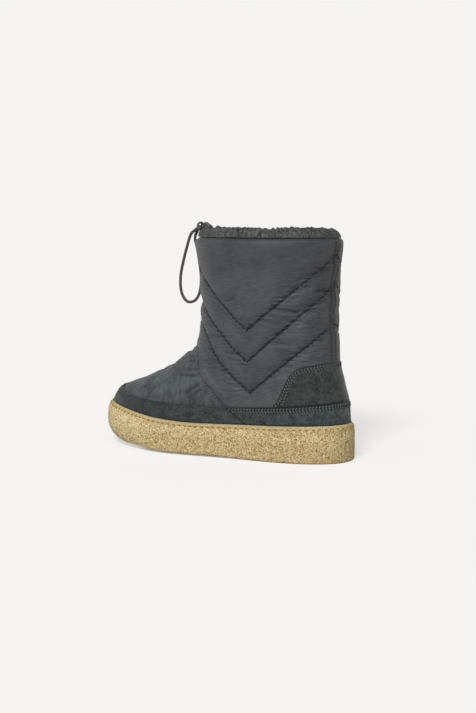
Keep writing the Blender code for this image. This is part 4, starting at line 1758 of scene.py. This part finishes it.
@dataclass
class Casing:
    """The gathered tunnel of thin nylon on the collar's seam."""

    shape: BootShape
    columns: int = 720
    rows: int = 40
    profile: Table = ((3.6, 0.3), (4.2, 3.4), (6.4, 6.8), (9.8, 9.3), (12.8, 8.2), (13.4, 4.5), (12.0, 0.3))
    gather_depth: float = 1.45
    gathers: Table = ((41.0, 0.48), (67.0, 0.52), (103.0, 0.34))
    bunch_rise: float = 4.9
    bunch_forward: float = 5.9
    bunch_width: float = 4.8
    foot_forward: float = 4.5
    back_lean: float = 3.2
    collar_radius: float = 62.0
    chart_top: float = 0.12
    top_line_way: tuple[float, float] = (0.87, 0.5)
    top_line: Table = (
        (-80.0, 0.0), (-40.0, 0.0), (-20.0, -0.4), (-13.5, 1.4), (-8.5, 0.9), (-2.5, 0.6),
        (5.5, 0.1), (13.0, 0.5), (22.0, 0.0), (30.0, 0.2), (37.0, -1.0), (50.0, -0.8), (60.0, 0.4),
        (66.0, -0.1), (72.0, 0.6), (79.0, 0.2), (84.5, 0.9), (93.0, -0.1), (99.0, -0.9),
        (140.0, -0.8),
    )

    def loop(self) -> Array:
        """The tunnel's outline as a closed smooth curve of insets and rises.

        Returns:
            Pairs in millimetres.
        """
        knots = np.array(self.profile)
        count = len(knots)
        at = np.arange(self.rows) / self.rows * count
        i = at.astype(int)
        s = (at - i)[:, None]
        before, here, after, beyond = (knots[(i + k) % count] for k in (-1, 0, 1, 2))
        bend = 2 * before - 5 * here + 4 * after - beyond
        twist = 3 * (here - after) + beyond - before
        return here + 0.5 * s * ((after - before) + s * (bend + s * twist))

    def build(self) -> Piece:
        """Makes the tunnel with its gathers and the bunch at the front.

        Returns:
            The casing.
        """
        shape = self.shape
        angle = angles_round(self.columns)
        depth = shape.last.depth_at(angle, np.full_like(angle, shape.seam_height - 6.0))
        base = shape.last.point(angle, depth)
        flat = unit(shape.last.normal(angle, depth)[:, :2])
        from_front = np.minimum(angle, FULL_TURN - angle)
        bunch = np.exp(-((base[:, 1] / self.bunch_width) ** 4)) * (from_front < 1.2)
        back = bell(math.pi - from_front, 0.55)
        loop = self.loop()
        ahead = unit(np.roll(loop, -1, 0) - np.roll(loop, 1, 0))
        high = np.clip(loop[:, 1] / self.profile[3][1], 0.0, 1.0)
        fold = self.folds(angle, base, bunch, loop[:, 1]) * ramp(loop[:, 1], 0.2, 2.4)[:, None]
        inset = loop[:, :1] - ahead[:, 1:] * fold
        rise = loop[:, 1:] + ahead[:, :1] * fold
        forward = self.bunch_forward * bunch * np.clip(2.6 * high, 0.0, 1.0)[:, None]
        forward += self.foot_forward * bunch * bell(loop[:, 1:] - 1.5, 2.4)
        inset = inset - forward + self.back_lean * back * (high[:, None] - 0.3)
        along = self.top_line_way[0] * base[:, 0] + self.top_line_way[1] * base[:, 1]
        top = self.bunch_rise * bunch + smooth_table(self.top_line, along)
        rise = rise + top * np.clip(high - 0.03, 0.0, 1.0)[:, None]
        plan = base[None, :, :2] - flat[None] * inset[..., None]
        height = shape.seam_height + np.maximum(rise, 0.15)
        sheet = Fabric(np.concatenate((plan, height[..., None]), axis=-1), ring=True)
        # painted shade: dark in the gathers' valleys, along the seam row at the tunnel's foot, and at the
        # back where the tunnel turns from the light
        seam = bell(loop[:, 1], 0.9)[:, None]
        deep = np.maximum(np.clip(-fold - 0.1, 0.0, 1.0), 0.7 * seam)
        sheet.number("groove", np.maximum(deep, 0.45 * ramp(base[:, 0], 88.0, 106.0)))
        sheet.number("vamp", np.zeros_like(fold))
        sheet.number("gather", np.zeros_like(fold) + 0.35)
        sheet.lay_chart(np.linspace(0.0, self.chart_top, self.rows + 1)[:, None])
        thing = sheet.mesh("collar_tunnel")
        nylon = Nylon(
            "casing nylon",
            dark=(0.0165, 0.0177, 0.0175),
            light=(0.05, 0.0533, 0.0522),
            roughness=0.42,
            crinkle=(320.0, 320.0, 90.0),
        )
        return settle(thing, nylon.make(), Slot.CASING, "collar_casing")

    def folds(self, angle: Array, base: Array, bunch: Array, rise: Array) -> Array:
        """How far the gathers lift each point, rows by columns: round puffs with sharp valleys.

        Args:
            angle: Angles round the collar.
            base: Places on the collar's seam.
            bunch: The bunch at the front, from 0 to 1.
            rise: Heights of the rows over the seam.

        Returns:
            The lift in millimetres.
        """
        slant = -0.8 * np.cos(angle) * np.tanh(3 * np.sin(angle)) + 0.5 * np.sin(9 * angle + 0.4)
        turn = angle + slant * rise[:, None] / self.collar_radius
        total = np.zeros(turn.shape)
        high = total + rise[:, None] / self.profile[3][1]
        for number, (count, size) in enumerate(self.gathers):
            wander = 2.8 * soft_noise(base, (17.0, 17.0, 17.0), 14.0 + number)
            lean = 1.6 * bunch * high * np.sin(7 * turn + 2.0 * number + 0.6)
            phase = 0.5 * (count * turn + wander + lean)
            total += size * (1.7 * np.abs(np.sin(phase)) ** 0.75 - 1.15)
        patch = 0.6 + 0.6 * soft_noise(base, (22.0, 22.0, 22.0), 19.0)
        spot = np.stack((turn * self.collar_radius, 1.6 * high, 0 * high), axis=-1)
        crumple = 1.8 * np.abs(soft_noise(spot, (3.0, 1.0, 1.0), 31.0)) ** 0.7 - 0.72
        close = 0.3 * bunch * np.sin(80 * turn + 5 * high)
        return self.gather_depth * (total * patch * (1 + 0.2 * bunch) + crumple + close)


@dataclass
class Sole:
    """The crepe cup sole with its lip, stitch groove, toe spring and tread."""

    shape: BootShape
    columns: int = 940
    cup_offset: float = 2.2
    lip_samples: int = 20
    wall_rows: int = 30
    foot_rows: int = 16
    under_rows: int = 20
    edge_lift: float = 1.7
    crumb_size: float = 1.4
    crumb_fine: float = 0.9
    crumb_relief: float = 0.45
    groove_width: float = 3.6
    groove_depth: float = 3.2
    groove_pitch: float = 26.0
    groove_edge: float = 0.9
    groove_sets: tuple[tuple[float, int], ...] = ((-104.0, 5), (62.0, 3))
    open_grooves: tuple[float, ...] = (0.0, 27.0, 88.0)
    open_width: float = 2.4
    open_depth: float = 0.75
    toe_share: Table = ((0.0, 1.0), (0.16, 1.0), (0.36, 0.0), (1.0, 0.0))
    heel_share: Table = ((0.0, 0.0), (0.78, 0.0), (0.95, 1.0), (1.0, 1.0))
    wall: tuple[Rung, ...] = (
        Rung(Level.LIP, -0.9, 2.2, 2.2, 2.2),
        Rung(Level.LIP, 0.0, 2.9, 2.8, 2.6),
        Rung(Level.LIP, -0.7, 4.9, 3.6, 3.2),
        Rung(Level.LIP, -1.8, 5.95, 4.3, 3.8),
        Rung(Level.LIP, -2.5, 5.95, 4.7, 4.1),
        Rung(Level.LIP, -3.4, 6.05, 5.3, 4.7),
        Rung(Level.LIP, -4.4, 6.6, 6.2, 5.1),
        Rung(Level.LIP, -9.0, 7.1, 7.7, 5.5),
        Rung(Level.GROUND, 13.0, 7.2, 8.2, 5.7),
        Rung(Level.GROUND, 6.0, 7.0, 6.3, 5.6),
        Rung(Level.GROUND, 1.2, 6.4, 3.2, 5.3),
        Rung(Level.GROUND, 0.0, 4.8, 0.6, 4.2),
    )

    def loop(self, rung: Rung, angle: Array) -> Array:
        """One loop of the wall.

        Args:
            rung: The loop's level and offsets.
            angle: Angles round the boot.

        Returns:
            Points.
        """
        share = Last.along(angle)
        out = rung.offset + (rung.toe - rung.offset) * smooth_table(self.toe_share, share)
        out = out + (rung.heel - rung.offset) * smooth_table(self.heel_share, share)
        plan = self.shape.outline(angle, out[:, None])
        level = self.shape.lip(angle) if rung.level is Level.LIP else self.shape.ground(plan[:, 0])
        return np.column_stack((plan, level + rung.rise))

    def between(self, loops: Array, at: Array) -> Array:
        """Loops on smooth curves down the wall, at counts along its rungs.

        Args:
            loops: The rungs' points.
            at: Counts along the rungs.

        Returns:
            Rows of points.
        """
        flat = loops.reshape(len(loops), -1)
        slope = np.gradient(flat, axis=0)
        i = np.clip(at.astype(int), 0, len(loops) - 2)
        fine = curve((at - i)[:, None], flat[i], flat[i + 1], slope[i], slope[i + 1])
        return fine.reshape(len(at), *loops.shape[1:])

    def grooves(self) -> list[float]:
        """The places of the tread's grooves along the sole."""
        return [start + self.groove_pitch * k for start, count in self.groove_sets for k in range(count)]

    def cut(self, points: Array, under: Array) -> Array:
        """Heights raised inside the tread's grooves.

        Args:
            points: All loops of the sole.
            under: 1 for loops well inside the underside, 0 for the others.

        Returns:
            The new heights.
        """
        x = points[..., 0]
        deep = np.zeros_like(x)
        cuts = [(place, self.groove_width, under) for place in self.grooves()]
        cuts += [(place, self.open_width, self.open_depth) for place in self.open_grooves]
        for place, width, depth in cuts:
            inside = (width / 2 + self.groove_edge / 2 - np.abs(x - place)) / self.groove_edge
            deep = np.maximum(deep, depth * np.clip(inside, 0.0, 1.0))
        roof = self.shape.ground(x) + self.groove_depth * deep
        return np.where(deep > 0.0, np.maximum(points[..., 2], roof), points[..., 2])

    def strips(self, edge: Array, heights: Callable[[Array], Array], shares: Array) -> Array:
        """Loops that shrink from an edge to the sole's middle line.

        Args:
            edge: The edge's points in plan.
            heights: The height at each place along the sole.
            shares: How far out each loop is, from 0 on the middle line to 1 on the edge.

        Returns:
            Rows of points.
        """
        middle = (edge + mirrored(edge)) / 2
        plan = middle[None] + (edge - middle)[None] * shares[:, None, None]
        return np.concatenate((plan, heights(plan[..., 0])[..., None]), axis=-1)

    def lift(self, points: Array) -> Array:
        """How far the lower edge stands off the ground, between the toe and the waist."""
        x = points[..., 0]
        return self.edge_lift * ramp(x, -100.0, -70.0) * (1 - ramp(x, 5.0, 60.0))

    def rows(self) -> tuple[Array, Array, Array, Array]:
        """All loops of the sole, from the cup's middle over the lip to the middle of the underside.

        Returns:
            The points, and for each loop how crumbled it is, how much it is lip, and whether it lies well
            inside the underside.
        """
        shape = self.shape
        angle = angles_round(self.columns)
        lip = shape.lip(angle)
        edge = shape.outline(angle, self.cup_offset)
        cup = list(self.strips(edge, shape.floor, np.array((0.0, 0.3, 0.6, 0.85, 1.0))))
        for share in (0.35, 0.7):
            cup.append(np.column_stack((edge, shape.floor(edge[:, 0]) * (1 - share) + (lip - 0.9) * share)))
        rungs = np.array([self.loop(rung, angle) for rung in self.wall])
        on_lip = sum(rung.level is Level.LIP for rung in self.wall)
        at = np.concatenate((
            np.linspace(0.0, on_lip - 2.0, self.lip_samples),
            np.linspace(on_lip - 2.0, float(on_lip), self.wall_rows + 1)[1:],
            np.linspace(float(on_lip), len(self.wall) - 1.0, self.foot_rows + 1)[1:],
        ))
        side = self.between(rungs, at)
        shares = np.linspace(1.0, 0.0, self.under_rows + 1)[1:]
        foot = self.strips(side[-1][:, :2], shape.ground, shares)
        side[..., 2] += self.lift(side) * (1 - ramp(side[..., 2] - shape.ground(side[..., 0]), 3.0, 14.0))
        foot[..., 2] += self.lift(foot) * ramp(shares, 0.8, 1.0)[:, None]
        inner = shares < 0.9
        smooth = 1 - ramp(at, on_lip - 3.2, on_lip - 2.4)
        crumb = np.concatenate((np.zeros(len(cup)), 1 - smooth, np.full(len(foot), 0.6)))
        band = np.concatenate((np.full(len(cup), 0.4), smooth, np.zeros(len(foot))))
        under = np.concatenate((np.zeros(len(cup) + len(at)), inner.astype(float)))
        points = np.concatenate((np.array(cup), side, foot))
        return points, crumb[:, None], band[:, None], under[:, None]

    def painted_light_and_shade(self, points: Array) -> Array:
        """Painted light and shade on the crepe: darker from a little behind the toe backwards, lighter in a
        band under the lip, and a painted contact shadow in a line along the heel's foot.

        Args:
            points: All loops of the sole.

        Returns:
            A painted shade for each point.
        """
        x = points[..., 0]
        over = points[..., 2] - self.shape.ground(x)
        # painted light and shade: the toe kept lighter, a lighter band under the lip, a painted contact
        # shadow along the heel's foot
        behind = 0.24 * ramp(x, -95.0, -35.0) + 0.06 * ramp(x, 0.0, 90.0)
        behind -= 0.14 * bell(over - 25.0, 4.5)
        return behind + 0.6 * bell(over, 0.9) * ramp(x, 0.0, 50.0)

    def build(self) -> Piece:
        """Makes the sole.

        Returns:
            The sole.
        """
        points, rough, lip, under = self.rows()
        points[..., 2] = self.cut(points, np.broadcast_to(under, points.shape[:-1]))
        up = np.gradient(points, axis=0)
        round_it = np.roll(points, -1, 1) - np.roll(points, 1, 1)
        out = np.cross(up, round_it)
        out = out / np.maximum(np.linalg.norm(out, axis=-1, keepdims=True), 1e-6)
        crumb = 0.6 * granules(points, self.crumb_size, 1.0) + 0.4 * granules(points, self.crumb_fine, 2.0)
        flow = soft_noise(points, (9.0, 9.0, 6.0), 17.0)
        lift = rough * self.crumb_relief * (crumb - 0.5 + 0.3 * flow)
        lift = lift + (1 - rough) * 0.06 * soft_noise(points, (3.0, 3.0, 2.0), 18.0) * (lip > 0.5)
        resting = points[..., 2] < self.shape.ground(points[..., 0]) + 0.6
        points = points + out * np.minimum(np.where(resting, 0.35, 1.0) * lift, 0.35)[..., None]
        points[..., 2] = np.maximum(points[..., 2], self.shape.ground(points[..., 0]) * 0.98)
        close_ends(points)
        sheet = Fabric(points)
        sheet.number("crumb", crumb)
        sheet.number("lip", np.broadcast_to(lip, crumb.shape))
        sheet.number("painted_light_and_shade", self.painted_light_and_shade(points))
        thing = sheet.mesh("crepe_sole")
        return settle(thing, Crepe().make(), Slot.CREPE, "sole")


@dataclass
class Insole:
    """The felt footbed on the cup's floor."""

    shape: BootShape
    columns: int = 240
    thick: float = 4.0
    inset: float = 0.6
    rim: Table = ((0.8, 0.3), (0.25, 0.7), (0.0, 1.4), (0.0, 2.6), (0.3, 3.4), (0.9, 3.85), (1.6, 4.0))

    def build(self) -> Piece:
        """Makes the footbed with rounded edges.

        Returns:
            The insole.
        """
        shape = self.shape
        angle = angles_round(self.columns)
        depth = shape.last.depth_at(angle, shape.floor(shape.last.point(angle, 0.3)[:, 0]) + shape.gap)
        flat = unit(shape.last.normal(angle, depth)[:, :2])
        base = shape.last.point(angle, depth)[:, :2]
        foot, crown = self.rim[0][0], self.rim[-1][0]
        steps = [(foot, shape.gap, share) for share in (0.0, 0.5, 0.9)]
        steps += [(pull, rise, 1.0) for pull, rise in self.rim]
        below_top = len(steps)
        steps += [(crown, self.thick, share) for share in np.linspace(0.95, 0.0, 18)]
        rows = []
        for pull, rise, share in steps:
            edge = base - flat * (shape.wall + self.inset + pull)
            middle = (edge + mirrored(edge)) / 2
            plan = middle + (edge - middle) * share
            rows.append(np.column_stack((plan, shape.floor(plan[:, 0]) + rise)))
        points = np.array(rows)
        top = np.arange(len(points)) >= below_top
        fuzz = 0.18 * soft_noise(points, (5.0, 5.0, 5.0), 21.0)
        points[..., 2] += np.where(top[:, None], np.minimum(fuzz, 0.0), 0.0)
        close_ends(points)
        thing = Fabric(points).mesh("felt_footbed")
        felt = Fleece("felt footbed", (0.045, 0.045, 0.046), (0.12, 0.12, 0.118), curl=700.0)
        return settle(thing, felt.make(), Slot.FOOTBED, "insole")


@dataclass
class Stitching:
    """Rows of stitches, each a copy of one small stitch laid on the surface under it."""

    shape: BootShape
    upper: Upper
    trim: SuedeTrim
    bottom: Sole
    quilt_gauge: Gauge = Gauge(4.7, 3.7, 2.1, 24.0)
    vamp_gauge: Gauge = Gauge(3.0, 1.8, 0.9, 30.0)
    strip_gauge: Gauge = Gauge(2.6, 2.0, 0.8, 12.0)
    suede_gauge: Gauge = Gauge(3.1, 3.0, 1.15, 46.0)
    sole_gauge: Gauge = Gauge(6.0, 3.8, 1.3, 0.0)
    # the black beads painted as the shade inside the needle holes
    hole_gauge: Gauge = Gauge(3.1, 2.8, 1.25, 46.0, 0.75)
    suede_rows: tuple[float, float] = (2.0, 4.3)
    vamp_rows: tuple[float, float] = (1.6, 4.2)
    strip_row: float = 3.1
    back_radius: float = 54.0

    def __post_init__(self) -> None:
        """Models the one stitch that the rows repeat."""
        deselect()
        bpy.ops.mesh.primitive_uv_sphere_add(segments=6, ring_count=5, radius=1.0)
        model = bpy.context.object
        mesh = model.data
        corner = np.array([tuple(vertex.co) for vertex in mesh.vertices])
        blunt = np.sign(corner[:, 2]) * np.abs(corner[:, 2]) ** 0.7
        self.bead = np.column_stack((blunt, corner[:, 0], corner[:, 1]))
        self.bead_faces = [tuple(face.vertices) for face in mesh.polygons]
        bpy.data.objects.remove(model, do_unlink=True)

    def sew(
        self,
        name: str,
        paths: Rows,
        finish: Material,
        slot: Slot,
        gauge: Gauge,
    ) -> Piece:
        """Lays stitches along paths, with neighbouring rows half a stitch apart and slanted to each other.

        Args:
            name: The piece's name.
            paths: Points and outward normals of each row.
            finish: The thread.
            slot: The slot, passed on to settle.
            gauge: The stitch's sizes.

        Returns:
            One joined piece.
        """
        corners, faces = [], []
        for number, (points, normals) in enumerate(paths):
            gone = run_along(points)
            count = max(1, int(gone[-1] / gauge.pitch))
            at = (np.arange(count) + (gauge.start + 0.5 * (number % 2)) % 1.0) * gone[-1] / count
            centre = read_along(at, gone, points)
            ahead = unit(read_along(at, gone, np.gradient(points, gone, axis=0)))
            side = unit(np.cross(read_along(at, gone, normals), ahead))
            out = np.cross(ahead, side)
            turn = math.radians(gauge.slant_deg) * (-1 if number % 2 else 1)
            ahead, side = (
                ahead * math.cos(turn) + side * math.sin(turn),
                side * math.cos(turn) - ahead * math.sin(turn),
            )
            long, wide = self.bead[:, :1] * gauge.long / 2, self.bead[:, 1:] * gauge.thick / 2
            for n in range(count):
                start = len(corners) * len(self.bead)
                corners.append(centre[n] + long * ahead[n] + wide[:, :1] * side[n] + wide[:, 1:] * out[n])
                faces += [tuple(start + v for v in face) for face in self.bead_faces]
        mesh = bpy.data.meshes.new(name)
        mesh.from_pydata((np.concatenate(corners) * MM).tolist(), [], faces)
        thing = bpy.data.objects.new(name, mesh)
        bpy.context.scene.collection.objects.link(thing)
        make_active(thing)
        bpy.ops.object.shade_smooth()
        return settle(thing, finish, slot)

    def on_upper(self, angle: Array, height: Array, lift: float) -> tuple[Array, Array]:
        """A path on the upper's skin, with its normals."""
        offset = self.upper.relief(angle, height)[0]
        return self.on_last(angle, height, offset + lift)

    def on_last(self, angle: Array, height: Array, out: Array | float) -> tuple[Array, Array]:
        """A path at an offset from the last, with its normals."""
        depth = self.shape.last.depth_at(angle, height)
        return self.shape.last.skin(angle, height, out), self.shape.last.normal(angle, depth)

    def build(self) -> list[Piece]:
        """Sews every visible row.

        Returns:
            The pieces, one for each kind of row.
        """
        black = Thread("black thread", (0.003, 0.003, 0.004), (0.014, 0.0145, 0.016)).make()
        slate = Thread("slate thread", (0.03, 0.035, 0.034), (0.094, 0.106, 0.103)).make()
        dusk = Thread("dusk thread", (0.009, 0.011, 0.011), (0.036, 0.042, 0.041)).make()
        ochre = Thread("ochre thread", (0.13, 0.06, 0.012), (0.3, 0.16, 0.04)).make()
        heel, counter = self.rand(False), self.counter()
        return [
            self.sew("quilting_stitches", self.quilting(), black, Slot.NYLON, self.quilt_gauge),
            self.sew("vamp_stitches", self.vamp(), slate, Slot.NYLON, self.vamp_gauge),
            self.sew("back_seam_stitches", self.back_seam(), black, Slot.NYLON, self.strip_gauge),
            self.sew("toe_rand_stitches", self.rand(True), dusk, Slot.SUEDE, self.vamp_gauge),
            self.sew("heel_rand_stitches", heel, slate, Slot.SUEDE, self.suede_gauge),
            self.sew("counter_stitches", counter, slate, Slot.SUEDE, self.suede_gauge),
            # black beads between the stitches, painted as the shade inside the needle holes
            self.sew("needle_hole_shade", heel + counter, black, Slot.SUEDE, self.hole_gauge),
            self.sew("sole_stitches", self.sole(), ochre, Slot.CREPE, self.sole_gauge),
        ]

    def quilting(self) -> Rows:
        """The rows in the quilting lines, on both sides of the back strip.

        Returns:
            Points and normals of each row.
        """
        paths = []
        for side in Side:
            end = math.pi - (0.2 if side is Side.OUTER else 0.02)
            turn = side.angle(np.linspace(0.02, end, 420))
            for line in self.upper.line_at(turn):
                paths.append(self.on_upper(turn, line, 0.15))
        return paths

    def vamp(self) -> Rows:
        """The twin rows along the vamp's edge.

        Returns:
            Points and normals of each row.
        """
        paths = []
        fine = smooth_route(self.shape.vamp_line[1:], 160)
        along = unit(np.gradient(fine, axis=0))
        for side in Side:
            for away in self.vamp_rows:
                angle, height = self.chart(fine + np.column_stack((along[:, 1], -along[:, 0])) * away)
                keep = height > self.shape.rand_top(angle) + 0.4
                paths.append(self.on_upper(side.angle(angle[keep]), height[keep], 0.1))
        return paths

    def chart(self, row: Array) -> tuple[Array, Array]:
        """The outer angles and the heights of places given by how far along the boot and how high they are.

        Args:
            row: Pairs of a place along the boot and a height.

        Returns:
            The angles and the heights.
        """
        turn = np.radians(np.linspace(2.0, 178.0, 353))
        angle = np.empty(len(row))
        for n, (x, z) in enumerate(row):
            reach = self.shape.last.point(turn, self.shape.last.depth_at(turn, np.full_like(turn, z)))[:, 0]
            angle[n] = np.interp(x, reach, turn)
        return angle, np.clip(row[:, 1], 40.0, 210.0)

    def back_seam(self) -> Rows:
        """The twin rows on the strip up the back.

        Returns:
            Points and normals of each row.
        """
        shape = self.shape
        foot = float(shape.rand_top(np.array(math.pi)) + shape.counter_rise(np.array(math.pi)))
        height = np.linspace(foot + 1.0, shape.seam_height - 2.0, 140)
        paths = []
        for away in (-self.strip_row, self.strip_row):
            angle = math.pi + (self.upper.strip_middle(height) + away) / self.back_radius
            paths.append(self.on_upper(angle, height, 0.12))
        return paths

    def rand(self, front: bool) -> Rows:
        """The twin rows under the rand's top edge, ahead of its joints or behind them.

        Args:
            front: Whether the rows are ahead of the joints.

        Returns:
            Points and normals of each row.
        """
        angle = np.linspace(0.0, FULL_TURN, 900) - (math.pi if front else 0.0)
        paths = []
        for below in self.suede_rows:
            height = self.shape.rand_top(angle) - below
            base = self.shape.last.skin(angle, height, 0.0)
            keep = (self.trim.ahead_of_joint(base) > 0.0) == front
            out = self.shape.gap + self.trim.rand_thick - 0.08 + self.trim.joint(base)
            paths.append(self.on_last(angle[keep], height[keep], out[keep]))
        return paths

    def counter(self) -> Rows:
        """The twin rows inside the counter's front and top edge.

        Returns:
            Points and normals of each row.
        """
        shape, trim = self.shape, self.trim
        angle, height = trim.counter_outline()
        rim = shape.last.skin(angle, height, 0.0)
        gone = run_along(rim[:, :2])
        flat = np.column_stack((gone, height))
        along = unit(np.gradient(flat, axis=0))
        inward = np.column_stack((along[:, 1], -along[:, 0]))
        paths = []
        for away in self.suede_rows:
            row = flat + inward * away
            turn = np.interp(row[:, 0], gone, angle)
            keep = row[:, 1] > shape.rand_top(turn) + 1.2
            out = shape.gap + trim.counter_thick - 0.1
            paths.append(self.on_last(turn[keep], row[keep, 1], out))
        return paths

    def sole(self) -> Rows:
        """The row in the groove under the sole's lip.

        Returns:
            Points and normals of the row.
        """
        angle = np.linspace(0.0, FULL_TURN, 900)
        above, below = (self.bottom.loop(rung, angle) for rung in self.bottom.wall[4:6])
        row = (above + below) / 2
        normal = np.column_stack((row[:, :2] - self.shape.outline(angle, 0.0), np.zeros(len(angle))))
        normal = unit(normal)
        return [(row + 0.1 * normal, normal)]


def main() -> None:
    """Builds the boot around its frame, piece by piece."""
    logging.basicConfig(level=logging.INFO, format="%(message)s")
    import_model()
    Camera().build()
    shape = BootShape()
    drawcord = Drawcord()
    upper = Upper(shape)
    trim = SuedeTrim(shape)
    bottom = Sole(shape)
    pieces = [drawcord.build_cord(), drawcord.build_lock(), upper.build(), trim.build_rand()]
    pieces += [trim.build_counter(), Casing(shape).build(), bottom.build(), Insole(shape).build()]
    pieces += Stitching(shape, upper, trim, bottom).build()
    Studio().build()
    for piece in pieces:
        LOG.info("%s: %d faces", piece.name, len(piece.data.polygons))


if __name__ == "__main__":
    main()
